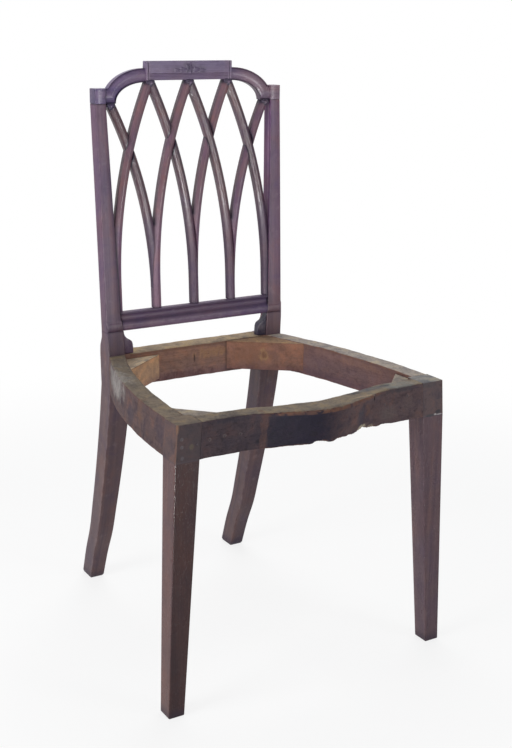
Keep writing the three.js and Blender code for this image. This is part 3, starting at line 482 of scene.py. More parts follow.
def shell(rings, grain, worn=0.0, grime=0.0, inside=0.0):
    """A closed surface as rings of places, with the grain's coordinates, or the axes that they follow,
    and with how worn each place is together with its painted highlights, how grimy together with its
    painted shade, and how far it belongs to the inside of the seat."""
    grain = rings[..., grain] if isinstance(grain, list) else grain
    marks = {"worn": worn, "inside": inside, "grime": grime}
    return {"rings": rings, "grain": grain,
            **{mark: np.broadcast_to(value, rings.shape[:2]) for mark, value in marks.items()}}


def build(name, shells, material):
    """One object from closed shells, with their grain, wear and painted highlights, inside, and grime
    and painted shade kept as attributes.
    """
    starts = np.cumsum([0] + [part["worn"].size for part in shells])
    faces = np.concatenate([closed_faces(part["rings"]) + start for part, start in zip(shells, starts)])
    mesh = bpy.data.meshes.new(name)
    mesh.from_pydata(np.concatenate([part["rings"].reshape(-1, 3) for part in shells]).tolist(), [],
                     faces.tolist())
    for mark in ("grain", "worn", "inside", "grime"):
        kind, key = ("FLOAT_VECTOR", "vector") if mark == "grain" else ("FLOAT", "value")
        values = np.concatenate([part[mark].reshape(-1) for part in shells]).astype(np.float32)
        mesh.attributes.new(mark, kind, "POINT").data.foreach_set(key, values)
    mesh.polygons.foreach_set("use_smooth", np.ones(len(faces), bool))
    mesh.set_sharp_from_angle(angle=np.radians(SHARP_ANGLE))
    mesh.materials.append(material)
    mesh.update()
    piece = bpy.data.objects.new(name + "_dressed", mesh)
    bpy.context.scene.collection.objects.link(piece)
    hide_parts(name)
    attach(piece, "root")


# Where the wood is

def stay(share):
    """Height at a share of the stay rail."""
    return blend(STAY_BOTTOM, STAY_TOP, share)


def back_face(z):
    """Depth of the face of the posts: flat to the seat, then raked by (height share)^1.12."""
    return POST_FACE + BACK_RAKE * np.maximum(0, along(z, SEAT_TOP, CREST_JOINT)) ** RAKE_POWER


def below_rail(z):
    """0 at the rails and 1 at the floor."""
    return np.clip(1 - z / RAIL_BOTTOM, 0, 1)


def post_front(z):
    """Depth of a post's front: the raked face over the rails, and the leg swept back below."""
    swept = POST_FACE + LEG_SWEEP * curve_through(LEG_SWEEP_SHARES, 1 - z / RAIL_BOTTOM)
    return np.where(z >= RAIL_BOTTOM, back_face(z), swept)


def post_depth(z):
    """Size of a post from front to back: tapered leg, seat, then a step down to the stile."""
    step = curve_through(POST_STEP_SHARES, along(z, SEAT_TOP, STAY_BOTTOM))
    return np.where(z >= SEAT_TOP, blend(POST_SEAT_DEPTH, STILE_DEPTH, step),
                    blend(POST_SEAT_DEPTH, REAR_LEG_DEPTH, below_rail(z)))


def post_outside(z):
    """Outer face of a post, in straight runs from foot to seat and from seat to crest."""
    stile = blend(SEAT_REAR_WIDTH, CREST_WIDTH, along(z, SEAT_TOP, CREST_JOINT)) / 2
    return np.where(z >= SEAT_TOP, stile + STILE_SPREAD * ease(z, SEAT_TOP, STAY_BOTTOM),
                    blend(REAR_FOOT_SPREAD, SEAT_REAR_WIDTH, z / SEAT_TOP) / 2)


def post_inside(z):
    """Inner face of a post: the outer face less the width at that height."""
    heights = [0, RAIL_BOTTOM, SEAT_TOP, SEAT_TOP + 1e-5, STAY_BOTTOM, STAY_TOP, CREST_JOINT]
    widths = [REAR_FOOT_WIDTH, POST_SEAT_WIDTH, POST_SEAT_WIDTH, STILE_RAIL_WIDTH, STILE_RAIL_WIDTH,
              STILE_FOOT_WIDTH, STILE_TOP_WIDTH]
    return post_outside(z) - np.interp(z, heights, widths)


def side_outside(y):
    """Outside of a side rail: the parabola through the rear corner, a pull point and the front corner,
    solved for its place t at depth y."""
    share = np.clip(along(y, POST_FACE, SEAT_FRONT), 0, 1)
    bend = 2 * SIDE_BOW_SHARE
    t = np.clip((np.sqrt(bend ** 2 + 4 * (1 - bend) * share) - bend) / (2 * (1 - bend)), 0, 1)
    corner = SEAT_FRONT_WIDTH / 2
    return (1 - t) ** 2 * SEAT_REAR_WIDTH / 2 + 2 * t * (1 - t) * (corner - SIDE_BOW_TOE) + t * t * corner


def side_inside(y):
    """Inside of a side rail at depth y."""
    return side_outside(y) - SIDE_RAIL_THICKNESS


def flare_at(y):
    """How far a side rail's lower edge stands out: the flare times 1 - (1 - share)^3."""
    share = np.clip(along(y, POST_FACE, SEAT_FRONT), 0, 1)
    return RAIL_FLARE * (1 - (1 - share) ** FLARE_POWER)


def leg_outside(z):
    """Outer face of a front leg: the rails' flare, then the splay down to the foot."""
    flare = RAIL_FLARE * np.clip(along(z, SEAT_TOP, RAIL_BOTTOM), 0, 1)
    return SEAT_FRONT_WIDTH / 2 + flare + LEG_SPLAY * below_rail(z)


def swell(x, span):
    """Serpentine swell, half of one plus the cosine of pi times the share of the half span."""
    return (1 + np.cos(np.pi * np.minimum(1, np.abs(x) / (span / 2)))) / 2


def front_inside(x):
    """Depth of the inner face of the front rail."""
    return SEAT_FRONT + FRONT_RAIL_THICKNESS - FRONT_BOW_INSIDE * swell(x, BOW_SPAN_TOP)


def stay_mould(z):
    """Depth of the stay rail's moulded front behind the face of the posts."""
    return STAY_MOULD_DEPTH * curve_through(STAY_MOULD_SHARES, along(z, STAY_BOTTOM, STAY_TOP))


def apex_of(place):
    """Place along X and height of an apex: the outer two stand under the shoulders."""
    return (place - 2) * BAY_WIDTH, CREST_JOINT if place in OUTER_APEXES else TABLET_BOTTOM


def bar_centre(bar, z):
    """Centre line of a bar: upright to its spring, then the circle that reaches its apex,
    x = start + lean (R - sqrt(R^2 - h^2)) with R = (run^2 + rise^2) / 2 run."""
    start = (bar.pier - 2) * BAY_WIDTH
    apex_x, apex_z = apex_of(bar.apex)
    spring = STAY_TOP + (SPRING_SHOULDER if bar.apex in OUTER_APEXES else SPRING_HEIGHT)
    run, rise = abs(apex_x - start), apex_z - spring
    radius = (run ** 2 + rise ** 2) / (2 * run)
    height = np.clip(z - spring, 0, radius * 0.999)
    return start + np.sign(apex_x - start) * (radius - np.sqrt(radius ** 2 - height ** 2))


def bar_slope(bar, z):
    """Unit direction (x, z) of a bar's centre line."""
    step = 0.0002
    run = (bar_centre(bar, z) - bar_centre(bar, z - step)) / step
    size = np.sqrt(1 + run ** 2)
    return run / size, 1 / size


def off_bar(bar, x, z):
    """Distance from a bar's centre line, square to it."""
    return np.abs(x - bar_centre(bar, z)) * bar_slope(bar, z)[1]


# Shader graphs

class Signal:
    """A value in a shader graph. Arithmetic on it adds Math nodes."""

    def __init__(self, graph, socket):
        self.graph, self.socket = graph, socket

    def _math(self, operation, *values):
        return self.graph.node("ShaderNodeMath", {"operation": operation}, dict(enumerate(values)))[0]

    def __add__(self, other):
        return self._math("ADD", self, other)

    def __sub__(self, other):
        return self._math("SUBTRACT", self, other)

    def __rsub__(self, other):
        return self._math("SUBTRACT", other, self)

    def __mul__(self, other):
        return self._math("MULTIPLY", self, other)

    def __pow__(self, other):
        return self._math("POWER", self, other)

    def __neg__(self):
        return self._math("MULTIPLY", self, -1.0)

    __radd__, __rmul__ = __add__, __mul__

    def highest(self, other):
        return self._math("MAXIMUM", self, other)

    def lowest(self, other):
        return self._math("MINIMUM", self, other)

    def rise(self, start, end):
        """0 before start and 1 past end, eased, or the reverse where end is below start."""
        low, high = sorted((start, end))
        values = {"Value": self, "From Min": low, "From Max": high}
        eased = self.graph.node("ShaderNodeMapRange", {"interpolation_type": "SMOOTHSTEP"}, values)[0]
        return 1 - eased if end < start else eased


class Graph:
    """The node graph of a new material of that name, or of a world."""

    def __init__(self, owner):
        self.material = bpy.data.materials.new(owner) if isinstance(owner, str) else owner
        self.material.use_nodes = True
        self.tree = self.material.node_tree
        self.tree.nodes.clear()

    def node(self, kind, settings=None, inputs=None):
        """A node of a type, its settings made first, then its sockets given values or links."""
        made = self.tree.nodes.new(kind)
        for key, value in (settings or {}).items():
            setattr(made, key, value)
        for key, value in (inputs or {}).items():
            socket = made.inputs[key]
            if isinstance(value, Signal):
                self.tree.links.new(value.socket, socket)
            else:
                socket.default_value = (*value, 1.0) if socket.type == "RGBA" else value
        return [Signal(self, out) for out in made.outputs if out.enabled]

    def mix(self, low, high, share, mode="MIX"):
        """Colour between two, by a share."""
        settings = {"data_type": "RGBA", "blend_type": mode, "clamp_factor": True}
        return self.node("ShaderNodeMix", settings, {0: share, 6: low, 7: high})[0]

    def tinted(self, shade, *layers):
        """A colour multiplied by others in turn, each by its share."""
        for tone, share in layers:
            shade = self.mix(shade, tone, share, "MULTIPLY")
        return shade

    def vector(self, operation, *values):
        """A vector made from others, part by part."""
        return self.node("ShaderNodeVectorMath", {"operation": operation}, dict(enumerate(values)))[0]

    def noise(self, vector, scale, detail=3.0, rough=0.55, twist=0.0):
        values = {"Vector": vector, "Scale": scale, "Detail": detail, "Roughness": rough, "Distortion": twist}
        return self.node("ShaderNodeTexNoise", {"noise_dimensions": "3D"}, values)[0]

    def attributes(self, *names):
        """The vector of the attribute grain, and the value of any other."""
        return [self.node("ShaderNodeAttribute", {"attribute_name": name})[1 if name == "grain" else 2]
                for name in names]

    def place(self):
        """Place on the chair in metres: the vector and its three parts."""
        vector = self.node("ShaderNodeTexCoord")[3]
        return vector, *self.node("ShaderNodeSeparateXYZ", None, {0: vector})

    def facing(self):
        """The three parts of the direction that the surface faces."""
        return self.node("ShaderNodeSeparateXYZ", None, {0: self.node("ShaderNodeNewGeometry")[1]})

    def seen(self):
        """1 for rays from the camera, and for those that gloss or glass sends on, else 0."""
        rays = {ray.socket.name: ray for ray in self.node("ShaderNodeLightPath")}
        return rays["Is Camera Ray"].highest(rays["Is Glossy Ray"]).highest(rays["Is Transmission Ray"])

    def marked(self, shade, place, marks, share_of):
        """A colour with marks over it, each eased out to an ellipsoid of its half sizes. The function
        turns a mark's nearness into its share."""
        for centre, sizes, tone, strength in marks:
            away = self.vector("MULTIPLY", self.vector("ADD", place, tuple(-centre)), tuple(1 / sizes))
            distance = self.node("ShaderNodeVectorMath", {"operation": "LENGTH"}, {0: away})[0]
            shade = self.mix(shade, tone, share_of(distance.rise(1.15, 0.25)) * strength)
        return shade

    def finish(self, shade, roughness, height, depth, specular):
        """The surface: its colour, roughness, and a bump of the given depth in metres."""
        bump = self.node("ShaderNodeBump", None, {"Height": height, "Strength": 1.0, "Distance": depth})[0]
        shader = self.node("ShaderNodeBsdfPrincipled", None, {
            "Base Color": shade, "Roughness": roughness, "Normal": bump, "Specular IOR Level": specular})[0]
        self.node("ShaderNodeOutputMaterial", None, {"Surface": shader})
        return self.material


# Wood

def toned(colour_value, share):
    """A darker or paler version of a colour."""
    return tuple(np.minimum(1, np.array(colour_value) * share))


def between(first, second):
    """The colour halfway between two."""
    return tuple((np.array(first) + np.array(second)) / 2)


def wood_figure(graph, grain, seed):
    """Grain of a board from its own coordinates (along, across, deep): broad ribbons, fine streaks,
    short pores and slow mottling, each stretched along the board."""
    grain = graph.vector("ADD", grain, (seed * 1.37, seed * 0.71, seed * 0.43))
    looks = ((2.2, 60, 2.0, 0.5, 0.6), (9, 420, 3.0, 0.6), (130, 2300, 1.0, 0.5), (16, 34, 3.0, 0.6, 0.4))
    ribbon, streak, pore, mottle = (
        graph.noise(graph.vector("MULTIPLY", grain, (lengthways, across, across)), 1.0, *look)
        for lengthways, across, *look in looks)
    return ribbon, streak, pore.rise(0.62, 0.72), mottle


def polish(graph, finish, seed, tone, drift, bloom=0.2):
    """Old polished mahogany: ribbon grain, a haze that drifts between brown and violet, painted shade
    with old polish in the hollows, creases and crevices, rubbed arrises, and painted highlights screened
    paler. Gives the shade, the roughness and the height."""
    grain, worn, grime = graph.attributes("grain", "worn", "grime")
    ribbon, streak, pore, mottle = wood_figure(graph, grain, seed)
    shifted = graph.vector("ADD", graph.place()[0], (seed * 0.37, seed * 0.19, seed * 0.53))
    haze = graph.noise(shifted, 17.0, 3.0, 0.6, 0.6)
    smear = graph.noise(shifted, 60.0, 4.0, 0.62)
    figure = (ribbon * 0.75 + streak * 0.55).rise(0.42, 0.88)
    shade = graph.tinted(tone, ((0.60, 0.54, 0.60), (1 - figure) * 0.75),
                         ((1.14, 1.03, 0.86), ribbon.rise(0.50, 0.62) * 0.4),
                         ((0.86, 0.91, 1.06), ribbon.rise(0.50, 0.38) * 0.4),
                         ((1.28, 1.04, 0.84), haze.rise(0.50, 0.68) * drift),
                         ((0.70, 0.68, 1.04), haze.rise(0.50, 0.34) * drift),
                         ((0.56, 0.52, 0.62), mottle.rise(0.5, 0.8) * 0.5))
    shade = graph.mix(shade, (0.25, 0.21, 0.22), smear.rise(0.55, 0.8) * bloom, "SCREEN")
    shade = graph.tinted(shade, ((0.35, 0.30, 0.35), pore * 0.5))
    # Rubbed arrises and painted highlights, screened paler
    rubbed = worn * smear.rise(0.36, 0.58)
    shade = graph.mix(shade, (0.30, 0.25, 0.24), rubbed * bloom, "SCREEN")
    # Painted shade in hollows, creases and crevices, with the old polish there
    shade = graph.mix(shade, toned(finish.shade_and_old_polish, 0.65), (grime * (0.85 + 0.4 * smear)).lowest(1.0))
    roughness = finish.gloss + mottle * 0.12 + pore * 0.2 - rubbed * 0.05 + grime * 0.22
    return shade, roughness, streak * 0.25 + mottle * 0.9 - pore * 0.5


def polished_wood(name, finish, seed, tone, lower=None, turn=(0.40, 0.60), drift=0.5, across=None,
                  bare=None, shaded=None, satin=(0.0, 0.0), specular=0.3, relief=0.00022):
    """Polished wood whose tone goes from `lower` to `tone` between two heights, or, given `across`,
    between two places along X. Given `bare`, it has that colour where it stands inside the seat, and
    given `shaded`, the faces turned to -X are multiplied by it, painted light and shade on that side.
    `satin` is added to the roughness of the lower and of the upper tone."""
    graph = Graph(name)
    px, pz = graph.place()[1::2]
    share = px.rise(*across) if across else pz.rise(*turn)
    base = graph.mix(lower or tone, tone, share)
    # Painted light and shade: faces turned to -X multiplied by `shaded` over the upper tone
    if shaded:
        base = graph.tinted(base, (shaded, graph.facing()[0].rise(-0.5, -0.9) * share))
    shade, roughness, height = polish(graph, finish, seed, base, drift)
    if bare:
        inside = graph.attributes("inside")[0]
        shade, roughness = graph.mix(shade, bare, inside), roughness + inside * 0.4
    roughness = roughness + satin[0] + share * (satin[1] - satin[0])
    return graph.finish(shade, roughness, height, relief, specular)


def leg_wood(name, finish, seed, tone, front_share, stump_front, stump_side, top, marks):
    """Front leg: polished up to the rails, its front painted darker as painted shade and the leg paler
    higher up, and over that as rough, stained, marked and dusty as the rails that it stands between."""
    graph = Graph(name)
    place, pz = graph.place()[::3]
    ny, nz = graph.facing()[1:]
    worn, grime = graph.attributes("worn", "grime")
    to_front = (-ny).rise(0.4, 0.8)
    # Painted shade on the front faces by front_share; paler higher up the leg
    base = graph.tinted(tone, ((front_share,) * 3, to_front), ((1.12, 1.12, 1.12), pz.rise(0.05, 0.36)))
    shade, roughness, height = polish(graph, finish, seed, base, 0.3, 0.06)
    stain = graph.noise(place, 46.0, 5.0, 0.65, 0.5)
    stump = graph.mix(stump_side, stump_front, to_front)
    stump = weathered(graph, stump, stain, graph.noise(place, 105.0, 4.0, 0.6), 0.8)
    stump = graph.mix(stump, dusty(graph, place, top, seed), nz.rise(0.35, 0.8))
    stump = graph.mix(stump, (0.10, 0.08, 0.10), grime)
    stump = graph.mix(stump, finish.arris, (worn * stain.rise(0.30, 0.5) * 0.5).lowest(1.0))
    above = (pz + stain * 0.002).rise(RAIL_BOTTOM - 0.001, RAIL_BOTTOM + 0.002)
    shade = graph.marked(graph.mix(shade, stump, above), place, marks,
                         lambda near: (near * (0.3 + stain * 1.2)).rise(0.05, 0.95))
    return graph.finish(shade, roughness + above * 0.35, height + stain * above, 0.00024, 0.20)


def dusty(graph, place, tone, seed):
    """Top of a seat rail: dust over scuffed wood, in soft clouds of olive and grey, with darker fibres
    and specks."""
    shifted = graph.vector("ADD", place, (seed * 0.23, seed * 0.41, seed * 0.31))
    cloud = graph.noise(shifted, 42.0, 4.0, 0.6, 0.4)
    fibre = graph.noise(shifted, 190.0, 3.0, 0.65)
    shade = graph.mix(toned(tone, 0.60), toned(tone, 1.16), (cloud * 0.7 + fibre * 0.5).rise(0.42, 0.76))
    return graph.tinted(shade, ((1.10, 1.04, 0.84), cloud.rise(0.50, 0.64) * 0.8),
                        ((0.86, 0.90, 1.00), cloud.rise(0.48, 0.36) * 0.8),
                        ((0.40, 0.34, 0.32), fibre.rise(0.57, 0.70) * 0.65))


def weathered(graph, shade, stain, blot, strength):
    """A board's tone turned warm and pale in some patches, cool and dark in others, with dark spots."""
    return graph.tinted(shade, ((1.50, 1.24, 1.04), stain.rise(0.50, 0.66) * strength),
                        ((0.60, 0.62, 0.80), stain.rise(0.50, 0.35) * strength),
                        ((0.48, 0.42, 0.46), blot.rise(0.54, 0.70) * strength * 0.9))


def old_board(name, finish, seed, outer, inner, top, rough, marks=(), specular=0.2, rub=0.55, patchy=0.6):
    """Board where the cover was: one tone outside, or several that follow each other along X, another
    inside, dust on top, stains, pits, rubbed arrises and the marks given."""
    graph = Graph(name)
    grain, worn, grime, inside = graph.attributes("grain", "worn", "grime", "inside")
    ribbon, streak, pore, mottle = wood_figure(graph, grain, seed)
    place, px, _, pz = graph.place()
    shifted = graph.vector("ADD", place, (seed * 0.29, seed * 0.17, seed * 0.11))
    stain = graph.noise(shifted, 40.0, 5.0, 0.65, 0.5)
    blot = graph.noise(shifted, 105.0, 4.0, 0.6)
    figure = (ribbon * 0.7 + streak * 0.6).rise(0.36, 0.86)
    if isinstance(outer, list):
        shade = outer[0]
        for start, end, tone in outer[1:]:
            shade = graph.mix(shade, tone, (px + (blot - 0.5) * 0.05).rise(start, end))
        shade = graph.tinted(shade, ((0.72, 0.68, 0.70), (1 - figure) * 0.8))
    else:
        shade = graph.mix(toned(outer, 0.68), toned(outer, 1.14), figure)
    shade = weathered(graph, shade, stain, blot, patchy)
    within = graph.mix(toned(inner, 0.76), toned(inner, 1.12), figure)
    within = graph.tinted(
        weathered(graph, within, stain, blot, patchy * 0.75),
        ((0.66, 0.60, 0.80), pz.rise(RAIL_BOTTOM + 0.022, RAIL_BOTTOM + 0.002) * 0.7),
        ((1.22, 1.12, 0.98), pz.rise(RAIL_BOTTOM + 0.026, SEAT_TOP - 0.006) * 0.7))
    shade = graph.mix(shade, within, inside)
    shade = graph.mix(shade, finish.arris, worn * blot.rise(0.34, 0.56) * rub)
    shade = graph.mix(shade, dusty(graph, place, top, seed), graph.facing()[2].rise(0.55, 0.92) * 0.95)
    scuff = graph.noise(graph.vector("MULTIPLY", shifted, (420.0, 420.0, 60.0)), 1.0, 3.0, 0.6)
    broken = blot * 0.9 + scuff * 0.9 + stain * 0.7 - 1.25
    shade = graph.marked(shade, place, marks,
                         lambda near: (near + broken * 2.2).rise(0.1, 1.3) * near.rise(0.0, 0.5))
    # Near black over the grime and shade mask: tack holes, slots and the split, and painted shadow beside the
    # rear block
    shade = graph.mix(graph.tinted(shade, ((0.35, 0.3, 0.32), pore * 0.5)), (0.012, 0.008, 0.012), grime)
    height = streak * 0.45 + blot * 0.9 + mottle * 0.6 - pore * 0.7
    return graph.finish(shade, rough + blot * 0.12, height, 0.00045, specular)


# Marks on the wood

def marks(*rows):
    """Marks from rows of place and half sizes in millimetres, screen colour and strength."""
    return [(np.array(row[:3]) / 1000, np.array(row[3:6]) / 1000, paint(*row[6:9]), row[9]) for row in rows]


SIDE_MARKS = {
    "left": marks(
        (-200, 25, 432, 30, 85, 34, 160, 157, 154, 0.68), (-186, 72, 432, 30, 40, 26, 140, 136, 134, 0.6),
        (-225, -115, 430, 30, 16, 30, 104, 78, 66, 0.6), (-229, -195, 425, 30, 20, 30, 66, 58, 70, 0.6),
        (-218, -70, 415, 30, 22, 20, 70, 62, 72, 0.6)),
    "right": marks(
        (195, -195, 425, 30, 24, 20, 128, 98, 82, 0.7), (190, -80, 436, 30, 90, 7, 128, 96, 84, 0.55),
        (175, 10, 400, 30, 50, 8, 84, 64, 70, 0.5)),
}
REAR_MARKS = marks(
    (25, 125, 431, 50, 20, 14, 166, 124, 92, 0.65), (-90, 125, 426, 26, 20, 16, 146, 102, 88, 0.5),
    (-30, 125, 396, 90, 20, 14, 84, 56, 62, 0.65))
BLOCK_MARKS = marks(
    (90, 95, 424, 50, 50, 30, 132, 92, 72, 0.6), (107.3, 86.1, 424.2, 12, 12, 15, 164, 128, 92, 0.9),
    (107.3, 86.1, 424.2, 7.5, 7.5, 9.5, 112, 76, 62, 0.95), (70, 112, 433, 10, 10, 4, 92, 58, 50, 0.6))
TACK_BRUISES = [(np.array([x, SEAT_FRONT, z]), np.array([0.0038, 0.03, 0.0036]), paint(100, 92, 96), 0.6)
                for x, z in TACKS]
FRONT_MARKS = marks(
    (-145, -248, 444, 48, 30, 8, 40, 36, 50, 0.65), (150, -248, 444, 45, 30, 7, 54, 54, 62, 0.65),
    (-96, -254, 420, 8, 30, 60, 92, 64, 60, 0.75), (-69, -266, 444, 20, 30, 3, 116, 80, 66, 0.6),
    (-30, -274, 444.5, 24, 30, 2.2, 100, 74, 68, 0.6), (5, -276.9, 442.5, 28, 30, 3.4, 116, 78, 60, 0.8),
    (64, -265, 418, 10, 30, 26, 62, 62, 74, 0.6), (78, -260, 424, 9, 30, 18, 112, 80, 68, 0.6),
    (70, -258, 399, 14, 30, 7.5, 190, 178, 154, 1.0), (90, -252, 396.5, 10, 30, 5.5, 160, 144, 124, 0.95),
    (42, -266, 405, 18, 30, 10, 98, 78, 76, 0.5), (125, -250, 410, 24, 30, 16, 104, 92, 90, 0.5),
    (165, -246, 420, 16, 30, 18, 96, 82, 82, 0.5), (155, -233, 447, 42, 20, 3, 132, 134, 130, 0.6),
    (95, -231, 447, 45, 9, 10, 78, 82, 92, 0.75), (70, -237, 447, 18, 6, 10, 40, 42, 54, 0.85),
    (105, -225, 447, 11, 4, 10, 40, 42, 54, 0.85), (130, -228, 447, 14, 5, 10, 46, 48, 60, 0.8),
    (80, -256, 446.5, 35, 4, 3, 170, 148, 122, 0.7)) + TACK_BRUISES
LEG_MARKS = {
    "left": TACK_BRUISES[:2] + marks(
        (-222.5, -245.7, 398.5, 4, 30, 4, 96, 90, 96, 0.5), (-208, -245.7, 413, 5, 30, 6, 98, 86, 62, 0.5),
        (-229.6, -245.7, 443, 4, 6, 12, 128, 92, 68, 0.7)),
    "right": marks(
        (223.5, -245.7, 397, 8, 10, 5, 44, 42, 50, 0.9),
        (226.2, -245.7, 392.4, 8.5, 10, 1.3, 176, 170, 170, 0.9),
        (218, -245.7, 393.2, 3.4, 10, 2, 186, 182, 180, 0.9),
        (208, -245.7, 393, 12, 50, 3.5, 58, 60, 66, 0.7), (201, -245.7, 443, 22, 30, 7, 58, 58, 66, 0.6)),
}


# Posts and legs

def foot_darkening(z):
    """How much a leg is darkened at a height: half at the floor, fading in 20 mm."""
    return 0.5 * (1 - ease(z, 0.003, 0.020))


def rear_post(hand, shape):
    """A post as plan sections carried up from foot to crest: square at the leg, narrow over the seat,
    its front crowned over the stay rail and crossed there by the torus of the rail."""
    left, edge = hand == "left", shape.edge_round
    z = runs((0, FOOT_EDGE_HEIGHT, 4), (FOOT_EDGE_HEIGHT, RAIL_BOTTOM, 60), (RAIL_BOTTOM, SEAT_TOP, 10),
             (SEAT_TOP + GLUE_GAP, STAY_BOTTOM - 0.001, 18), (STAY_BOTTOM - 0.0005, STAY_TOP + 0.003, 56),
             (STAY_TOP + 0.004, CREST_JOINT - GLUE_GAP, 120))
    foot = FOOT_EDGE * (1 - np.clip(z / FOOT_EDGE_HEIGHT, 0, 1))
    outside, inside, front = post_outside(z), post_inside(z), post_front(z)
    low, high, near, far = inside + foot, outside - foot, front + foot, front + post_depth(z) - foot
    z, outside, inside, front = (value[:, None] for value in (z, outside, inside, front))
    above = ease(z, stay(0.5), stay(0.62))
    fronts = blend(edge, shape.stile_round, above)
    counts = [18, 8, 8, 30]
    outline = soften(ring_of((low, near), (high, near), (high, far), (low, far)),
                     [fronts, fronts, edge * 1.5, edge * 1.5], counts, 7)
    outline = moulded(outline, front, shape.stile_camber * above, (inside + outside) / 2, outside - inside)
    torus = np.where(z >= STAY_BOTTOM, stay_mould(z) * (1 - ease(z, stay(0.40), stay(0.52))), 0)
    nearness = 1 - np.clip((outline[..., 1] - front) / 0.008, 0, 1)
    nearness *= ease(outside - outline[..., 0], 0.0003, 0.0045)
    outline[..., 1] += (0.6 if left else 1.0) * torus * nearness
    depth, from_inside = outline[..., 1] - front, outline[..., 0] - inside
    inner_face = (1 - ease(from_inside, 0.0006, 0.0016)) * ease(z, STAY_TOP - 0.001, STAY_TOP + 0.001)
    outline[..., 0] += POST_GROOVE * bell(depth - GROOVE_PLACE, GROOVE_WIDTH) * inner_face
    rings = upright(outline, z)
    shadow = 0.30 * bell(np.maximum(0, from_inside), 0.0065) * (depth < FRONT_REACH) * above
    shadow = shadow * (1 - ease(z, 0.70, 0.82))
    # Painted shade on the inner face and along the front's inner edge, a painted shade line under the stay
    # rail, and the darkening at the foot
    grime = most(post_shade_and_polish(left, rings, depth, inner_face) + foot_darkening(z) + shadow,
                 0.4 * bell(z - STAY_BOTTOM + 0.0006, 0.0009))
    # Painted highlights: a pale band across the front at the stay rail's bead, and a pale line along the
    # fillet of the inner face
    bead = bell(z - stay(0.30), 0.0030) * (depth < 0.004)
    top_joint = (0.0 if left else 0.9) * bell(z - CREST_JOINT + 0.0012, 0.0009)
    fillet = 1.6 * bell(depth - FILLET_PLACE, 0.0015) * inner_face
    worn = worn_ring(counts, 7) * (1 - 0.55 * above) + top_joint + fillet + (0.3 if left else 0.6) * bead
    between_rails = (z >= RAIL_BOTTOM) & (z <= SEAT_TOP) & (from_inside < 0.011) & (depth < 0.032)
    rings[..., 0] *= HANDS[hand]
    grain = points(rings[..., 2], rings[..., 0], rings[..., 1] - front)
    return shell(rings, grain, np.clip(worn, 0, 1.6), grime, between_rails)


def post_shade_and_polish(left, rings, depth, inner_face):
    """Painted shade on a post, with old polish: in the groove of its inner face and on the back of that
    face, deepest beside the bar that springs from it, and under the crest, and a dark line at the crest
    joint. The nearness to each is a bell curve."""
    z = rings[..., 2]
    beside = np.abs(np.abs(bar_centre(BARS[0 if left else -1], z)) - post_inside(z)) - BAR_WIDTH / 2
    high = ease(z, CREST_JOINT - 0.075, CREST_JOINT - 0.01)
    strip = (0.18 + 0.72 * bell(np.maximum(0, beside), 0.006) + 0.45 * high) * ease(depth, 0.0105, 0.0130)
    line = 0.55 * bell(depth - GROOVE_PLACE, 0.0009)
    joint = (0.5 if left else 0.12) * bell(z - CREST_JOINT, 0.0012)
    return np.clip(most(strip * (1.0 if left else 0.45), line) * inner_face + joint, 0, 1)


def tack_marks(rings, shape):
    """Front faces with a pit at each tack: y grows by depth times a bell curve of the distance from it.
    Also how dark the pit is and how pale the bruised ring round it."""
    hole = rim = np.zeros(rings.shape[:2])
    front = rings[..., 1] < SEAT_FRONT + 0.003
    for x, z in TACKS:
        away = np.hypot(rings[..., 0] - x, rings[..., 2] - z)
        hole = most(hole, bell(away, TACK_RADIUS) * front)
        rim = most(rim, 0.3 * bell(away - 1.9 * TACK_RADIUS, TACK_RADIUS * 0.9) * front)
    rings[..., 1] += shape.tack_holes * hole
    return hole, rim


def front_leg(hand, shape):
    """A square carried up from the chamfered foot: tapered on its two inner sides to the rails, with
    the outer sides straight, and upright between the rails."""
    z = runs((0, RAIL_BOTTOM - 0.003, 70), (RAIL_BOTTOM - 0.002, SEAT_TOP, 70))
    z, pinch = rounded_ends(z, LEG_TOP_ROUND)
    pinch = np.where(z > RAIL_BOTTOM, pinch * 0.3, pinch)
    z = np.where(z > SEAT_TOP - 0.0016, SEAT_TOP - (SEAT_TOP - z) * 0.3, z)
    outer = leg_outside(z) - pinch
    inner = outer - blend(LEG_TOP_SIZE, LEG_FOOT_SIZE, below_rail(z)) + 2 * pinch
    near = SEAT_FRONT + pinch
    far = near + outer - inner + (LEG_FOOT_DEPTH - LEG_FOOT_SIZE) * below_rail(z)
    counts = [48, 8, 8, 8]
    round_edge = shape.edge_round * 0.9
    height = z[:, None]
    joint_edge = np.where(height > RAIL_BOTTOM, 0.0002, round_edge)
    corners = ring_of((inner, near), (outer, near), (outer, far), (inner, far))
    rings = upright(soften(corners, [joint_edge, round_edge, joint_edge, joint_edge], counts), z)
    rings[..., 0] *= HANDS[hand]
    hole = tack_marks(rings, shape)[0]
    crack = (0.75 if hand == "right" else 0.30) * bell(height - RAIL_BOTTOM, 0.0014)
    outer_arris = np.repeat([0, 1, 0], [52, 4, 32])
    worn = worn_ring(counts) * np.where(height > RAIL_BOTTOM, outer_arris, 1)
    return shell(rings, [2, 0, 1], worn, most(hole, crack, foot_darkening(height)), rings[..., 2] > RAIL_BOTTOM)


# Back

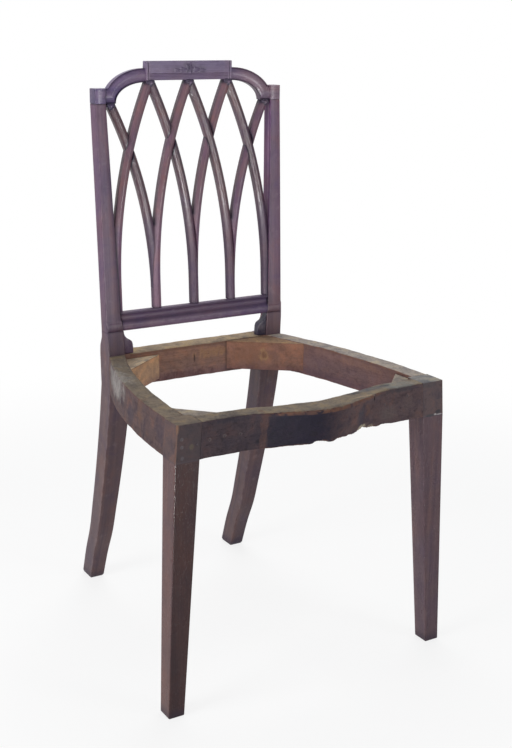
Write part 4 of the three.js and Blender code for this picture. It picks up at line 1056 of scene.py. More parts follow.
def stay_rail():
    """The moulded section carried along X, its ends cut to the leaning sides of the posts."""
    z = np.linspace(STAY_BOTTOM, STAY_TOP, 34)
    near, back = back_face(z) + stay_mould(z), back_face(STAY_BOTTOM) + STAY_RAIL_DEPTH
    shallow = back - STAY_CHAMFER
    depth = np.concatenate([near, np.linspace(near[-1], shallow, 8)[1:-1], [shallow, back, back, shallow],
                            np.linspace(shallow, near[0], 8)[1:-1]])
    height = np.concatenate([z, np.full(7, STAY_TOP), [STAY_TOP - STAY_CHAMFER, STAY_BOTTOM + STAY_CHAMFER],
                             np.full(7, STAY_BOTTOM)])
    reach = post_inside(height) - GLUE_GAP
    x = np.linspace(-1, 1, 90)[:, None] * reach
    # A pale band painted on the lower bead as a painted highlight, and wear along the back arrises
    worn = np.repeat([0, 0.6, 0, 1, 0], [5, 7, 27, 5, 6])
    up = along(height, STAY_BOTTOM, STAY_TOP)
    # Painted shade in the hollow over the bead, under the top and at the ends against the posts
    grime = 0.40 * bell(up - 0.50, 0.07) + 0.35 * bell(up - 0.93, 0.05) * (depth < back - 0.004)
    grime = np.clip(grime + 0.4 * bell(reach - np.abs(x), 0.003), 0, 1)
    return shell(points(x, depth, height), [0, 1, 2], worn, grime)


def lattice_bar(bar, shape):
    """A bar's ridged section carried up its centre line. Where two bars cross, the one behind is
    halved in front and the one in front is halved behind. It is cut flat at the apex, scarfed to its
    neighbour at the foot, and webbed to its partner just under the apex."""
    lean, half, lap = np.sign(bar.apex - bar.pier), BAR_WIDTH / 2, BAR_THICKNESS / 2
    apex_x, apex_z = apex_of(bar.apex)
    neighbours = [other for other in BARS if other.pier == bar.pier and other is not bar]
    partner = next((other for other in neighbours if other.whole), None)
    crossing = next(other for other in BARS if (other.pier, other.apex) == (bar.apex, bar.pier))
    bottom = STAY_TOP + GLUE_GAP
    if not bar.whole:
        heights = np.linspace(STAY_TOP, CREST_JOINT, 1500)
        clear = np.abs(bar_centre(bar, heights) - bar_centre(partner, heights)) >= SCARF_TIP
        bottom = heights[np.argmax(clear)]
    z = np.linspace(bottom, apex_z - 0.0005, 150)[:, None]
    counts = [16, 6, 6, 6]
    corners = ring_of((-half, 0), (half, 0), (half, BAR_THICKNESS), (-half, BAR_THICKNESS))
    section = soften(corners, BAR_ROUNDS, counts)
    aside, depth = moulded(section, 0, shape.bar_camber, 0, BAR_WIDTH, BAR_CROWN_POWER).T
    slope_x, slope_z = bar_slope(bar, z)
    centre = bar_centre(bar, z)
    x, height = centre + aside * slope_z, z - aside * slope_x

    halved = 1 - 2 * bar.over
    under = off_bar(crossing, x, height) < half - 0.0007
    deep = np.where(under & (halved * (lap - depth) > 0), lap + halved * 0.0004, depth)
    if bar.apex not in OUTER_APEXES:
        plane = apex_x - lean * GLUE_GAP / 2
        inner = aside * lean > half * 0.55
        web = ease(height, apex_z - CROTCH_DROP, apex_z - CROTCH_DROP + 0.0022)
        x = np.where(inner, blend(x, np.where(lean * (plane - x) > 0, plane, x), web), x)
        x = np.where(lean * (x - plane) > 0, plane, x)
    if not bar.whole:
        beside = bar_centre(partner, height) + lean * (half - SCARF_LAP) / bar_slope(partner, height)[1]
        x = np.where(lean * (x - beside) < 0, beside, x)
    wall = post_inside(height) - GLUE_GAP
    x = np.clip(x, -wall, wall)
    across = (x - centre) / slope_z / BAR_WIDTH
    deep = most(deep, shape.bar_camber * (1 - crown(across, BAR_CROWN_POWER)))
    height = np.clip(height, STAY_TOP + GLUE_GAP, apex_z - GLUE_GAP)
    rings = points(x, back_face(height) + BAR_SETBACK + deep, height)
    run = np.append(0, np.cumsum(np.hypot(np.diff(centre, axis=0), np.diff(z, axis=0))))[:, None]

    # Painted shade along the bar's edges, beside the bar that crosses it (more where this one is behind),
    # beside the post, under the apex, over the stay rail and in the crotch by its neighbour
    away = off_bar(crossing, x, height) - half
    grime = most(0.42 * ease(np.abs(aside), half * 0.80, half),
                 (0.25 if bar.over else 0.9) * bell(np.maximum(0, away), 0.0024) * (away > -0.001),
                 0.95 * bell(np.maximum(0, post_inside(height) - np.abs(x)), 0.0028),
                 0.85 * bell(np.maximum(0, apex_z - 0.004 - height), 0.0035),
                 0.7 * bell(height - STAY_TOP, 0.002))
    for other in neighbours:
        apart = np.abs(centre - bar_centre(other, z)) - BAR_WIDTH
        notch = 0.9 * bell(apart, 0.005) * ease(apart, -0.0005, 0.0008)
        inner = np.abs(x - bar_centre(other, height)) - half - np.maximum(0, apart)
        grime = most(grime, notch * bell(np.maximum(0, inner), 0.0030))
    # Painted highlight: a pale line left of the ridge on the upper part of the bars that lean left
    lit = (depth < FRONT_REACH) * (lean < 0)
    painted_highlight_line = 2.2 * bell(across + 0.16, 0.06) * ease(height, 0.66, 0.76) * lit
    return shell(rings, points(run, aside, depth), worn_ring(counts) + painted_highlight_line, grime)


def leaf(x, z, width, height, lobes):
    """Height of a carved leaf at a place: an ellipse whose rim swings by a cosine of its angle, domed,
    with veins that run out from its foot."""
    angle, reach = np.arctan2(z / height, x / width), np.hypot(x / width, z / height)
    body = np.clip(1 - (reach / (1 + 0.22 * np.cos(lobes * angle))) ** 2, 0, 1) ** 0.6
    return body * (0.75 + 0.25 * np.cos(lobes * 2 * angle))


def tablet_relief(x, z, shape):
    """How far the front of the tablet stands back (+) or proud (-): an upright fillet at each end, three
    reeds along its foot, and a low leaf in the middle with a scroll on each side. Also how dark it is
    painted there, 0 to 1, as painted shade with old polish in the carving, reeds and grooves, and how
    pale, as painted highlights along the fillets and on the crests of the reeds."""
    out, up = np.abs(x), z - TABLET_BOTTOM
    edge = TABLET_WIDTH / 2 - TABLET_MARGIN - FILLET_WIDTH
    groove = bell(out - edge, 0.0006) * ease(up, 0.001, 0.002) * (1 - ease(up, 0.0278, 0.0288))
    reed_top = TABLET_MARGIN + 4 * REED_HEIGHT
    reed_zone = ease(up, TABLET_MARGIN - 0.0006, TABLET_MARGIN) * (1 - ease(up, reed_top, reed_top + 0.0006))
    reed_zone = reed_zone * (1 - ease(out, edge - 0.0022, edge - 0.0014))
    reed = np.abs(np.sin(np.pi * (up - TABLET_MARGIN) / REED_HEIGHT)) ** 0.7
    middle = up - 0.0185
    carved = most(leaf(x, middle, 0.0062, 0.0085, 5),
                  *(share * leaf(x - side * aside, middle + lift, width, height, 3) for side in (-1, 1)
                    for share, aside, lift, width, height in ((0.8, 0.0118, 0.0022, 0.0068, 0.0038),
                                                              (0.6, 0.0225, 0.0030, 0.0062, 0.0028))))
    sunk = plateau(x, 0.031) * plateau(middle, 0.0095)
    relief = shape.reeds * (1.2 * groove + reed_zone * (1 - reed))
    relief = relief + shape.carving * (0.5 * sunk - 1.1 * carved)
    # Painted shade with old polish over the carved leaf and its scrolls, in the hollows of the reeds and in
    # the grooves
    ground = 0.62 * plateau(x, 0.0110, 3) * plateau(middle - 0.001, 0.0092, 3)
    wings = 0.45 * plateau(out - 0.0190, 0.0130, 3) * plateau(middle + 0.0020, 0.0060, 3)
    patchy = 0.75 + 0.25 * wander(points(x, 0 * x, z), 0.014, 5)
    dark = most(ground, wings) * patchy + 0.30 * reed_zone * (1 - reed) + 0.3 * groove
    # Painted highlights along the fillets and on the crests of the reeds
    pale = bell(out - edge - 0.0022, 0.0010) + bell(out - edge + 0.0014, 0.0008) + 0.5 * reed_zone * reed
    return relief, np.clip(dark, 0, 1), np.clip(pale, 0, 1)


def crest_half(hand, shape):
    """Stations from the middle of the tablet to one end of the crest. Each row holds the place of the
    inner and of the outer edge, the depth of the front and the thickness; kinds are 0 on the tablet,
    1 on the arch, where the depth is behind the raked face, and 2 over the post. The arch lies between
    two quarter ellipses, x = run sin t, z = rise cos t."""
    half, edge = TABLET_WIDTH / 2, shape.edge_round
    shoulder, outer_end = post_inside(CREST_JOINT), post_outside(CREST_JOINT)
    centre, foot, inner_end = half + ARCH_INSET, shoulder - ARCH_FOOT_INSET, shoulder - ARCH_END_WIDTH[hand]
    inner_rise, outer_rise = TABLET_BOTTOM - ARCH_LIP[hand] - CREST_JOINT, ARCH_TOP - CREST_JOINT
    outer_turn = np.arccos((SHOULDER_TOP - CREST_JOINT) / outer_rise)
    outer_run = (foot - centre) / np.sin(outer_turn)

    x = runs((0, 0.03, 46), (0.031, 0.070, 32), (0.0705, half - edge, 26))
    x = np.append(x, last_stations(half, edge, 4))
    pinch = rounded_stop(x, half, edge)
    tablet = points(x, TABLET_BOTTOM + pinch, x, TABLET_TOP - pinch,
                    back_face(TABLET_BOTTOM) + TABLET_SETBACK + pinch, TABLET_THICKNESS - 2 * pinch, 0)
    t = runs((0, 0, 1), (0.02, 1, 56))
    start = np.where(t > 0, centre, half + 0.0001)
    setback = blend(ARCH_SETBACK, ARCH_SHOULDER_SETBACK, t)
    arch = points(start + (inner_end - centre) * np.sin(t * np.pi / 2),
                  CREST_JOINT + inner_rise * np.cos(t * np.pi / 2),
                  start + outer_run * np.sin(outer_turn * t),
                  CREST_JOINT + outer_rise * np.cos(outer_turn * t),
                  setback, ARCH_THICKNESS + ARCH_SETBACK - setback, 1)
    s = np.linspace(0.08, 1, 14)
    turn_in = points(blend(inner_end, shoulder - 0.0006, s), CREST_JOINT, blend(foot, shoulder - 0.0004, s),
                     SHOULDER_TOP, setback[-1], ARCH_THICKNESS + ARCH_SETBACK - setback[-1], 1)
    x = np.concatenate([[shoulder + 0.0001], np.linspace(shoulder + 0.0008, outer_end - edge, 18),
                        last_stations(outer_end, edge, 5)])
    pinch = rounded_stop(x, outer_end, edge)
    block = points(x, CREST_JOINT + pinch * 0.3, x, SHOULDER_TOP - pinch, back_face(CREST_JOINT) + pinch,
                   STILE_DEPTH - 2 * pinch, 2)
    return np.concatenate([tablet, arch, turn_in, block])


def crest_rail(shape):
    """One closed surface carried from the left shoulder over the arch, the tablet and the other arch.
    Each station is a section with an inner edge and an outer edge, so the square end of the tablet and
    the shoulders are steps from one section to the next."""
    mirror = np.array([-1, 1, -1, 1, 1, 1, 1])
    rows = np.concatenate([crest_half("left", shape)[:0:-1] * mirror, crest_half("right", shape)])
    in_x, in_z, out_x, out_z, front, thick, kinds = rows.T
    near_in, near_out = (front + np.where(kinds == 1, back_face(z), 0) for z in (in_z, out_z))
    counts = [64, 6, 10, 6]
    rings = soften(ring_of((in_x, near_in, in_z), (out_x, near_out, out_z), (out_x, near_out + thick, out_z),
                           (in_x, near_in + thick, in_z)), CREST_ROUNDS, counts)
    place = np.interp(np.arange(rings.shape[1]), [3, 68, 81, 92], [-0.5, 0.5, 0.5, -0.5])
    front_side = np.repeat([0, 0.4, 1, 0.4, 0], [1, 1, 68, 1, 31])
    shoulder, outer_end = post_inside(CREST_JOINT), post_outside(CREST_JOINT)
    x, height = rings[..., 0].copy(), rings[..., 2]
    reach, left = np.abs(x), x < 0
    arch_bend = shape.bar_camber * (1 - crown(place, 1.8)) + 0 * x
    block_bend = shape.stile_camber * (1 - crown((reach - (shoulder + outer_end) / 2) / STILE_TOP_WIDTH, 2.2))
    relief, dark, pale = tablet_relief(x, height, shape)
    tablet, arch, block = ((kinds == kind)[:, None] for kind in range(3))
    rings[..., 1] += np.select([tablet, arch, block], [relief, arch_bend, block_bend]) * front_side
    ring = worn_ring(counts) + 0 * x
    # The tablet's pale painted highlights join the worn arrises, and a pale line runs along the joint over
    # each post
    worn = np.select([tablet, arch, block], [most(ring, pale * front_side), ring,
                                             most(ring, 0.8 * bell(height - CREST_JOINT - 0.001, 0.0008))])
    # Painted shade where each arch meets its block, on the left block's outer end and along the edges of the
    # arches, a dark joint line under the left block, and the tablet's painted shade
    joint = bell(reach - shoulder, 0.0022) * np.where(left, 0.45, 0.12)
    corner = 0.5 * left * ease(reach, outer_end - 0.003, outer_end)
    edges = 0.45 * ease(-place, 0.40, 0.5) + 0.2 * ease(place, 0.44, 0.5)
    foot = 0.6 * left * bell(height - CREST_JOINT, 0.0005)
    grime = np.select([tablet, arch, block], [dark * front_side, edges + joint, joint + foot + corner])
    return [shell(rings, [0, 1, 2], worn, np.clip(grime, 0, 1))] + [apex_leaf(number) for number in range(5)]


def apex_leaf(number):
    """Carved drop under the crest at an apex: a lobed half ellipse hanging from the crest, domed towards
    the front by sin of the share of its rim, with a bead in its middle."""
    apex_x, apex_z = apex_of(number)
    angle = np.linspace(0, 2 * np.pi, 64, endpoint=False) + np.pi / 2
    lobe = np.cos(5 * (angle + np.pi / 2))
    rim = 1 + 0.07 * lobe
    flat = np.where(np.sin(angle) > 0, 0.16, 1.0)
    back, front = (back_face(apex_z) + depth for depth in (BAR_SETBACK + BAR_THICKNESS, BOSS_SETBACK))
    dome = np.linspace(0.15, np.pi / 2 * 0.98, 14)
    share = np.concatenate([np.ones(6), np.cos(dome)])[:, None]
    depth = np.concatenate([np.linspace(back, front + BOSS_RISE, 6),
                            front + BOSS_RISE * (1 - np.sin(dome) ** 0.8)])
    bead = bell(share, 0.36)
    bead[:6] = 0
    vein = 0.0007 * lobe * np.sin(np.pi * np.clip(share, 0, 1))
    rings = points(apex_x + share * BOSS_WIDTH / 2 * rim * np.cos(angle),
                   depth[:, None] - vein - 0.0014 * bead,
                   apex_z - 0.0004 + share * BOSS_HEIGHT * rim * np.sin(angle) * flat - 0.0034 * (1 - share))
    # The drop is painted dark as painted shade with old polish, and its bead pale as a painted highlight
    return shell(rings, [0, 1, 2], bead, 0.74 - 0.70 * bead)


# Seat frame

def side_rail(hand, shape):
    """Section with a flared outer face carried back along the bow, cut square at post and leg."""
    y, pinch = rounded_ends(np.linspace(LEG_BACK + GLUE_GAP, POST_FACE - GLUE_GAP, 110), 0.0006)
    outer, inner = side_outside(y) - pinch, side_inside(y) + pinch
    low, high = RAIL_BOTTOM + pinch, SEAT_TOP - pinch
    counts = [16, 8, 14, 8]
    corners = ring_of((outer, y, high), (outer + flare_at(y), y, low), (inner, y, low), (inner, y, high))
    rings = soften(corners, SIDE_RAIL_ROUNDS, counts)
    hold = np.minimum(ease(y, y[0], y[0] + 0.006), 1 - ease(y, y[-1] - 0.006, y[-1]))[:, None, None]
    rings = uneven(rings, shape.unevenness, 31 + HANDS[hand], hold)
    rings[..., 0] *= HANDS[hand]
    inside = np.repeat([0, 0.6, 1, 0.5, 0], [28, 4, 18, 4, 8])
    return shell(rings, [1, 0, 2], worn_ring(counts), 0, inside)


def rear_rail(shape):
    """Plain board carried along X, its ends cut to the leaning posts."""
    fine = REAR_SLOT[0] + np.array([-0.003, 0.003])
    across = rounded_ends(runs((-1, 1, 120), (*fine / post_inside(SEAT_TOP), 13)), 0.004)[0]
    near, far = POST_FACE + REAR_RAIL_SETBACK, POST_FACE + POST_SEAT_DEPTH
    counts = [20, 10, 14, 12]
    corners = ring_of((near, SEAT_TOP), (near, RAIL_BOTTOM), (far, RAIL_BOTTOM), (far, SEAT_TOP))
    depth, height = soften(corners, REAR_RAIL_ROUNDS, counts).T
    rings = points(across[:, None] * (post_inside(np.minimum(height, SEAT_TOP)) - GLUE_GAP), depth, height)
    hold = (1 - ease(np.abs(across), 0.95, 0.99))[:, None, None]
    rings = uneven(rings, shape.unevenness * 0.8, 57, hold)
    face = rings[..., 1] < near + 0.003
    wide, high, deep = REAR_SLOT_SIZE
    slot = bell(rings[..., 0] - REAR_SLOT[0], wide) * plateau(rings[..., 2] - REAR_SLOT[1], high) * face
    rings[..., 1] += deep * slot
    block_end = side_inside(near) - REAR_BLOCK_LEG["right"]
    shadow = 0.45 * bell(np.minimum(0, rings[..., 0] - block_end), 0.0030) * face
    inside = np.repeat([0.6, 1, 0], [4, 24, 44])
    return shell(rings, [0, 1, 2], worn_ring(counts), most(0.8 * slot, shadow), inside)


def front_rail(shape):
    """Serpentine section carried along X, its lower arris broken away under the swell, split and slotted
    near the right end, and tack holes pressed into its face."""
    reach = SEAT_FRONT_WIDTH / 2 - LEG_TOP_SIZE - GLUE_GAP
    x = runs((-reach, reach, 330), (SLOT[0] - 0.002, SLOT[0] + 0.002, 13),
             *((tack - 0.0024, tack + 0.0024, 11) for tack, _ in TACKS if abs(tack) < reach - 0.003))
    top_face = SEAT_FRONT - FRONT_BOW_TOP * swell(x, BOW_SPAN_TOP)
    low_face = SEAT_FRONT - FRONT_BOW_BOTTOM * swell(x, BOW_SPAN_BOTTOM)
    low_x = x * (1 + RAIL_FLARE / reach)
    corners = ring_of((x, top_face, SEAT_TOP), (low_x, low_face, RAIL_BOTTOM),
                      (low_x, front_inside(x), RAIL_BOTTOM), (x, front_inside(x), SEAT_TOP))
    counts = [64, 12, 20, 18]
    rubbed = blend(*FRONT_RAIL_RUB, swell(x, BOW_SPAN_TOP) ** 0.6)[:, None]
    rings = soften(corners, [rubbed, *FRONT_RAIL_ROUNDS], counts)
    hold = (1 - ease(np.abs(x), reach - 0.008, reach - 0.001))[:, None, None]
    rings = uneven(rings, shape.unevenness * 1.3, 71, hold)
    rings[..., 2] += shape.erosion * broken_edge(rings) * hold[..., 0]
    hole, rim = tack_marks(rings, shape)
    front = rings[..., 1] < front_inside(rings[..., 0]) - FRONT_RAIL_THICKNESS * 0.4
    slot = bell(rings[..., 0] - SLOT[0], SLOT_SIZE[0]) * bell(rings[..., 2] - SLOT[1], SLOT_SIZE[1])
    split = bell(rings[..., 2] - SPLIT[1], SPLIT_SIZE[1]) * plateau(rings[..., 0] - SPLIT[0], SPLIT_SIZE[0])
    rings[..., 1] += (SLOT_SIZE[2] * slot + SPLIT_SIZE[2] * split) * front
    grime = np.clip(0.5 * hole + (1.6 * slot + split) * front, 0, 1)
    rubbed_part = 0.12 + 0.88 * ease(x, -0.105, -0.080) * (1 - ease(x, 0.095, 0.120))
    worn = np.clip(most(worn_ring(counts) * rubbed_part[:, None], rim), 0, 1)
    return shell(rings, [0, 1, 2], worn, grime, np.repeat([0, 0.6, 1, 0.5, 0], [86, 2, 20, 4, 18]))


def broken_edge(rings):
    """How much is lost at the lower edge: flat-topped bells roughened by a fine wander, fading up."""
    x, y, z = np.moveaxis(rings, -1, 0)
    rough = 0.5 + 0.5 * wander(points(x, y, 0 * z), 0.016, 11)
    lost = sum(size * plateau(x - middle, half) for middle, half, size in CHIPS)
    return lost * (0.45 + 0.9 * rough) * np.clip(1 - (z - RAIL_BOTTOM) / 0.014, 0, 1) ** 1.5


def block_shell(hand, outer, top):
    """A block between two heights whose plan runs along the two rails and back over a hollowed long
    side. Its rim is rounded at top and bottom."""
    outline = np.concatenate([outer, blend(outer[-1], outer[0], np.linspace(0, 1, len(outer))[:, None])])
    outline[len(outer)] += (outer[-2] - outer[-1]) * 0.02
    outline[-1] += (outer[1] - outer[0]) * 0.02
    z, pinch = rounded_ends(np.linspace(RAIL_BOTTOM + BLOCK_LIFT, top, 24), BLOCK_ROUND)
    rings = upright(np.stack([inset(outline, amount + 0.00001) for amount in pinch]), z)
    rings[..., 0] *= HANDS[hand]
    rim = np.arange(len(z))[:, None] >= len(z) - 4
    return shell(rings, [1, 0, 2], rim, 0, ~rim)


def front_block(hand):
    """Block glued across a front corner: its outline follows both rails and steps round the leg."""
    leg_in, leg_back = SEAT_FRONT_WIDTH / 2 - LEG_TOP_SIZE - GLUE_GAP, LEG_BACK + GLUE_GAP
    near_x = side_inside(LEG_BACK) - GLUE_GAP
    x = np.linspace(near_x - FRONT_BLOCK_LEG, leg_in, 10)
    y = np.linspace(leg_back, front_inside(near_x) + GLUE_GAP + FRONT_BLOCK_LEG, 8)
    outer = np.concatenate([points(x, front_inside(x) + GLUE_GAP), [[leg_in, leg_back]],
                            points(side_inside(y) - GLUE_GAP, y)])
    return block_shell(hand, outer, SEAT_TOP - FRONT_BLOCK_DROP[hand])


def rear_block(hand):
    """Block glued across a rear corner, against both rails and the face of the post."""
    leg, post = REAR_BLOCK_LEG[hand], POST_FACE - GLUE_GAP
    rear, edge = post + REAR_RAIL_SETBACK, post_inside(RAIL_BOTTOM) - GLUE_GAP
    start = side_inside(post) - GLUE_GAP - leg
    y = np.linspace(post, post - leg, 8)
    outer = np.concatenate([[[start, rear], [blend(start, edge, 0.5), rear], [edge, rear], [edge, post]],
                            points(side_inside(y) - GLUE_GAP, y)])
    return block_shell(hand, outer, SEAT_TOP - REAR_BLOCK_DROP[hand])


def seat_bracket(hand):
    """Scrolled bracket: the profile between its scroll and the post, carried from front to back."""
    head, up = STAY_BOTTOM - GLUE_GAP, np.linspace(1, 0, 40)
    z = blend(SEAT_TOP + 2 * GLUE_GAP, head, up)
    scroll = points(post_inside(head) - GLUE_GAP - curve_through(BRACKET_SHARES, up) * BRACKET_REACH, z)
    outline = np.concatenate([scroll, points(post_inside(z[::-1]) - GLUE_GAP, z[::-1])])
    front = back_face(STAY_BOTTOM) + BRACKET_SETBACK
    y, pinch = rounded_ends(np.linspace(front, front + BRACKET_DEPTH, 12), BRACKET_ROUND)
    x, height = np.moveaxis(np.stack([inset(outline, amount) for amount in pinch]), -1, 0)
    x = np.minimum(x, post_inside(height) - GLUE_GAP)
    return shell(points(x * HANDS[hand], y[:, None], height), [2, 0, 1], pinch[:, None] > 0)


# Operators

def make(name, slot, shells, maker, material, *values, **settings):
    """A piece and its material, which is made once."""
    finish = bpy.context.scene.chair_finish
    made = bpy.data.materials.get(material) or maker(material, finish, *values, **settings)
    build(name, shells, made)


class PieceOperator(bpy.types.Operator):
    """Makes one kind of piece"""
    bl_options = {"REGISTER", "UNDO"}


class CHAIR_OT_rear_posts(PieceOperator):
    """Make both rear posts"""
    bl_idname = "chair.rear_posts"
    bl_label = "Rear posts"

    def execute(self, context):
        finish = context.scene.chair_finish
        # Painted light and shade on the faces turned to -X: darker on the left post's outer face, paler on
        # the right post's inner face
        shaded = {"left": (0.82, 0.75, 0.84), "right": (1.45, 1.10, 1.40)}
        for seed, hand in enumerate(HANDS, 3):
            make("rear_post_" + hand, "polished_mahogany", [rear_post(hand, context.scene.chair_shape)],
                 polished_wood, "mahogany_post_" + hand, seed, getattr(finish, "stile_" + hand),
                 finish.rear_leg, bare=finish.rear_wood, shaded=shaded[hand], satin=(0.16, 0.16),
                 specular=0.26)
        return {"FINISHED"}


class CHAIR_OT_crest_rail(PieceOperator):
    """Make the crest rail with its tablet, arches and carved drops"""
    bl_idname = "chair.crest_rail"
    bl_label = "Crest rail"

    def execute(self, context):
        finish = context.scene.chair_finish
        make("crest_rail", "polished_mahogany", crest_rail(context.scene.chair_shape), polished_wood,
             "mahogany_crest", 8, finish.crest_rubbed, finish.crest, drift=0.3, across=(0.05, 0.14))
        return {"FINISHED"}


class CHAIR_OT_stay_rail(PieceOperator):
    """Make the moulded stay rail"""
    bl_idname = "chair.stay_rail"
    bl_label = "Stay rail"

    def execute(self, context):
        tone = context.scene.chair_finish.stay
        # Up to its bead the rail is painted 1.3 times paler, a painted highlight on the lower bead
        make("stay_rail", "polished_mahogany", [stay_rail()], polished_wood, "mahogany_stay", 11, tone,
             toned(tone, 1.3), (stay(0.26), stay(0.42)), satin=(0.2, 0.2), specular=0.26)
        return {"FINISHED"}


class CHAIR_OT_lattice(PieceOperator):
    """Make the eight bars of the lattice"""
    bl_idname = "chair.lattice"
    bl_label = "Lattice bars"

    def execute(self, context):
        finish = context.scene.chair_finish
        for seed, bar in enumerate(BARS, 20):
            # Painted light: bars leaning right are 1.4 times paler, bars leaning left 0.8 times, with their
            # faces turned to -X painted paler over the upper part
            share, shaded = (1.40, None) if bar.apex > bar.pier else (0.80, (1.7, 1.65, 1.65))
            make(bar.name, "shaded_mahogany", [lattice_bar(bar, context.scene.chair_shape)], polished_wood,
                 "mahogany_" + bar.name, seed, toned(finish.bar, share), toned(finish.stile_left, share),
                 (0.62, 0.72), shaded=shaded, satin=(0.20, -0.12), relief=0.00007)
        return {"FINISHED"}


class CHAIR_OT_front_legs(PieceOperator):
    """Make both front legs"""
    bl_idname = "chair.front_legs"
    bl_label = "Front legs"

    def execute(self, context):
        finish = context.scene.chair_finish
        stained = toned(between(finish.front_wood, finish.stain), (0.74, 0.63, 0.62))
        # The polished front faces are painted darker as painted shade, 0.62 on the left leg and 0.9 on the
        # right
        fronts = {"left": (0.62, stained), "right": (0.9, toned(finish.front_wood, 0.9))}
        for seed, hand in enumerate(HANDS, 40):
            make("front_leg_" + hand, "polished_mahogany", [front_leg(hand, context.scene.chair_shape)],
                 leg_wood, "mahogany_leg_" + hand, seed, getattr(finish, "leg_" + hand), *fronts[hand],
                 toned(finish.side_outer, 0.95), getattr(finish, "leg_top_" + hand), LEG_MARKS[hand])
        return {"FINISHED"}


class CHAIR_OT_seat_rails(PieceOperator):
    """Make the side and rear seat rails"""
    bl_idname = "chair.seat_rails"
    bl_label = "Side and rear rails"

    def execute(self, context):
        finish, shape = context.scene.chair_finish, context.scene.chair_shape
        wear = {"left": {"rub": 0.2, "patchy": 0.8}, "right": {"rub": 0.7, "patchy": 0.45}}
        for seed, hand in enumerate(HANDS, 50):
            make("side_seat_rail_" + hand, "bare_side_rail", [side_rail(hand, shape)], old_board,
                 "bare_rail_" + hand, seed, finish.side_outer, finish.side_inner,
                 getattr(finish, "dust_" + hand), finish.bare_roughness, SIDE_MARKS[hand], **wear[hand])
        make("rear_seat_rail", "rear_rail_wood", [rear_rail(shape)], old_board, "rear_rail_board", 55,
             finish.side_outer, finish.rear_wood, finish.dust_gold, finish.bare_roughness, REAR_MARKS,
             rub=0.75)
        return {"FINISHED"}


class CHAIR_OT_front_rail(PieceOperator):
    """Make the worn front seat rail"""
    bl_idname = "chair.front_rail"
    bl_label = "Front rail"

    def execute(self, context):
        finish = context.scene.chair_finish
        outer = [between(finish.front_wood, finish.stain), (-0.12, -0.08, finish.stain),
                 (-0.02, 0.05, finish.front_wood)]
        make("front_seat_rail", "stained_front_rail", [front_rail(context.scene.chair_shape)], old_board,
             "stained_front_board", 60, outer, finish.side_inner, finish.dust_left, 0.55, FRONT_MARKS, 0.12,
             0.75, 0.75)
        return {"FINISHED"}


class CHAIR_OT_corner_blocks(PieceOperator):
    """Make the four glued corner blocks"""
    bl_idname = "chair.corner_blocks"
    bl_label = "Corner blocks"

    def execute(self, context):
        finish = context.scene.chair_finish
        looks = {"front_left": (70, finish.block_gold, finish.dust_block),
                 "rear_left": (75, finish.block_gold, finish.dust_corner),
                 "front_right": (71, finish.side_outer, finish.dust_block),
                 "rear_right": (76, finish.block_brown, finish.dust_brown)}
        for corner, (seed, wood, dust) in looks.items():
            end, hand = corner.split("_")
            block = front_block(hand) if end == "front" else rear_block(hand)
            make("corner_block_" + corner, "block_wood", [block], old_board, "block_" + corner, seed, wood,
                 wood, dust, 0.8, BLOCK_MARKS if corner == "rear_right" else ())
        return {"FINISHED"}


class CHAIR_OT_brackets(PieceOperator):
    """Make the two scrolled brackets"""
    bl_idname = "chair.brackets"
    bl_label = "Seat brackets"

    def execute(self, context):
        for seed, hand in enumerate(HANDS, 80):
            make("seat_bracket_" + hand, "shaded_mahogany", [seat_bracket(hand)], polished_wood,
                 "mahogany_bracket_" + hand, seed, getattr(context.scene.chair_finish, "bracket_" + hand))
        return {"FINISHED"}


class CHAIR_OT_studio(bpy.types.Operator):
    """Make the floor, the lamps, the room light and the camera"""
    bl_idname = "chair.studio"
    bl_label = "Studio"

    def execute(self, context):
        studio = context.scene.chair_studio
        pale_floor(studio)
        lamp("key", (-2.5, -0.3, 1.1), 1.3, studio.key)
        lamp("fill", (1.25, -2.2, 1.30), 0.9, studio.fill)
        lamp("top", (0.5, 0.7, 2.6), 1.4, studio.top)
        lamp("low_card", (-1.25, -1.75, 0.30), 0.28, studio.card, False)
        lamp("floor_card", (-0.60, -1.15, 0.03), 0.25, studio.card, False)
        lamp("front_card", (0.55, -2.10, 0.45), 0.60, studio.front_card, False)
        room(studio)
        camera()
        context.scene.view_settings.view_transform = "Standard"
        return {"FINISHED"}


def pale_floor(studio):
    """A wide floor that the camera sees as white away from the chair, with the chair's shadow."""
    graph = Graph("pale_floor")
    place, px, py, _ = graph.place()
    away = (px ** 2.0 + py ** 2.0) ** 0.5
    shade = graph.mix(studio.floor, (1.0, 1.0, 1.0), graph.noise(place, 1.5, 2.0))
    plain = graph.node("ShaderNodeBsdfDiffuse", None, {"Color": shade})[0]
    glow = graph.node("ShaderNodeEmission", None, {"Color": (1.0, 1.0, 1.0), "Strength": 1.0})[0]
    share = graph.seen() * (0.8 + 0.2 * away.rise(0.7, 1.6))
    mixed = graph.node("ShaderNodeMixShader", None, {0: share, 1: plain, 2: glow})[0]
    graph.node("ShaderNodeOutputMaterial", None, {"Surface": mixed})
    corners = np.array([[-1, -1, 0], [1, -1, 0], [1, 1, 0], [-1, 1, 0]]) * 12.0
    mesh = bpy.data.meshes.new("floor")
    mesh.from_pydata(corners.tolist(), [], [[0, 1, 2, 3]])
    mesh.materials.append(graph.material)
    floor = bpy.data.objects.new("floor", mesh)
    bpy.context.scene.collection.objects.link(floor)


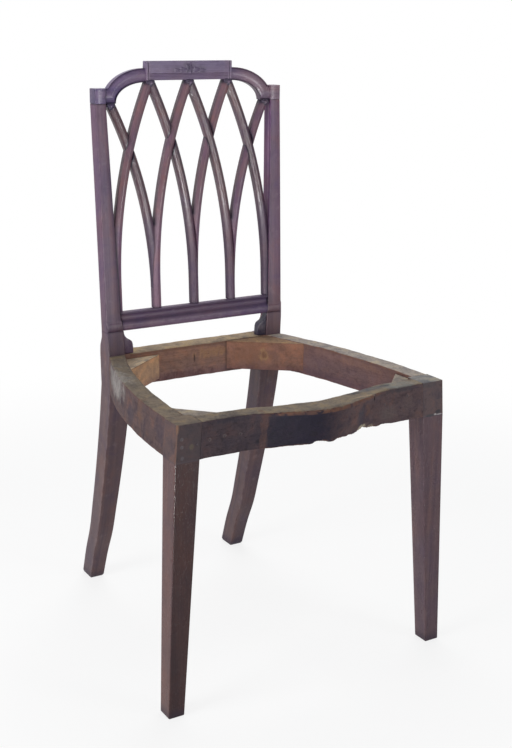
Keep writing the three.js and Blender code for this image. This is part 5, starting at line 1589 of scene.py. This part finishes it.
def lamp(name, place, size, watts, lights=True):
    """A round lamp aimed at the middle of the chair. One that doesn't light shows in gloss alone."""
    light = bpy.data.lights.new(name, "AREA")
    light.shape, light.size, light.energy = "DISK", size, watts
    made = bpy.data.objects.new(name, light)
    made.location = place
    made.visible_camera, made.visible_diffuse = False, lights
    made.rotation_mode = "QUATERNION"
    made.rotation_quaternion = (Vector((0, 0, 0.5)) - Vector(place)).to_track_quat("-Z", "Y")
    bpy.context.scene.collection.objects.link(made)


def room(studio):
    """Pale light from all round, white where the camera sees it."""
    graph = Graph(bpy.data.worlds.new("room"))
    pale, white = (graph.node("ShaderNodeBackground", None, {"Color": tone, "Strength": strength})[0]
                   for tone, strength in (((0.95, 0.97, 1.0), studio.sky), ((1.0, 1.0, 1.0), 1.0)))
    mixed = graph.node("ShaderNodeMixShader", None, {0: graph.seen(), 1: pale, 2: white})[0]
    graph.node("ShaderNodeOutputWorld", None, {"Surface": mixed})
    bpy.context.scene.world = graph.material


def camera():
    """The photo's camera, from its place, the point that it looks at and its roll."""
    place = np.array(CAMERA_PLACE)
    back = place - CAMERA_TARGET
    back /= np.linalg.norm(back)
    right = np.cross((0, 0, 1), back)
    right /= np.linalg.norm(right)
    up = np.cross(back, right)
    cos, sin = np.cos(CAMERA_ROLL), np.sin(CAMERA_ROLL)
    matrix = np.eye(4)
    matrix[:3] = np.stack([cos * right + sin * up, cos * up - sin * right, back, place], axis=1)
    lens = bpy.data.cameras.new("camera")
    lens.sensor_width, lens.lens = SENSOR, CAMERA_LENS
    made = bpy.data.objects.new("camera", lens)
    made.matrix_world = Matrix(matrix.tolist())
    bpy.context.scene.collection.objects.link(made)
    bpy.context.scene.camera = made


PIECES = [CHAIR_OT_rear_posts, CHAIR_OT_crest_rail, CHAIR_OT_stay_rail, CHAIR_OT_lattice, CHAIR_OT_front_legs,
          CHAIR_OT_seat_rails, CHAIR_OT_front_rail, CHAIR_OT_corner_blocks, CHAIR_OT_brackets,
          CHAIR_OT_studio]
GROUPS = {"chair_shape": ChairShape, "chair_finish": ChairFinish, "chair_studio": ChairStudio}


class CHAIR_PT_pieces(bpy.types.Panel):
    """The chair's settings and pieces"""
    bl_idname = "CHAIR_PT_pieces"
    bl_label = "Side chair"
    bl_space_type = "VIEW_3D"
    bl_region_type = "UI"
    bl_category = "Chair"

    def draw(self, context):
        for group in GROUPS:
            box = self.layout.box()
            settings = getattr(context.scene, group)
            for name in settings.bl_rna.properties.keys():
                if name not in ("rna_type", "name"):
                    box.prop(settings, name)
        for piece in PIECES:
            self.layout.operator(piece.bl_idname)


CLASSES = [*GROUPS.values(), *PIECES, CHAIR_PT_pieces]


def register():
    for made in CLASSES:
        bpy.utils.register_class(made)
    for name, group in GROUPS.items():
        setattr(bpy.types.Scene, name, PointerProperty(type=group))


def unregister():
    for name in GROUPS:
        delattr(bpy.types.Scene, name)
    for made in reversed(CLASSES):
        bpy.utils.unregister_class(made)


def main():
    register()
    for piece in PIECES:
        group, name = piece.bl_idname.split(".")
        getattr(getattr(bpy.ops, group), name)()


if __name__ == "__main__":
    main()
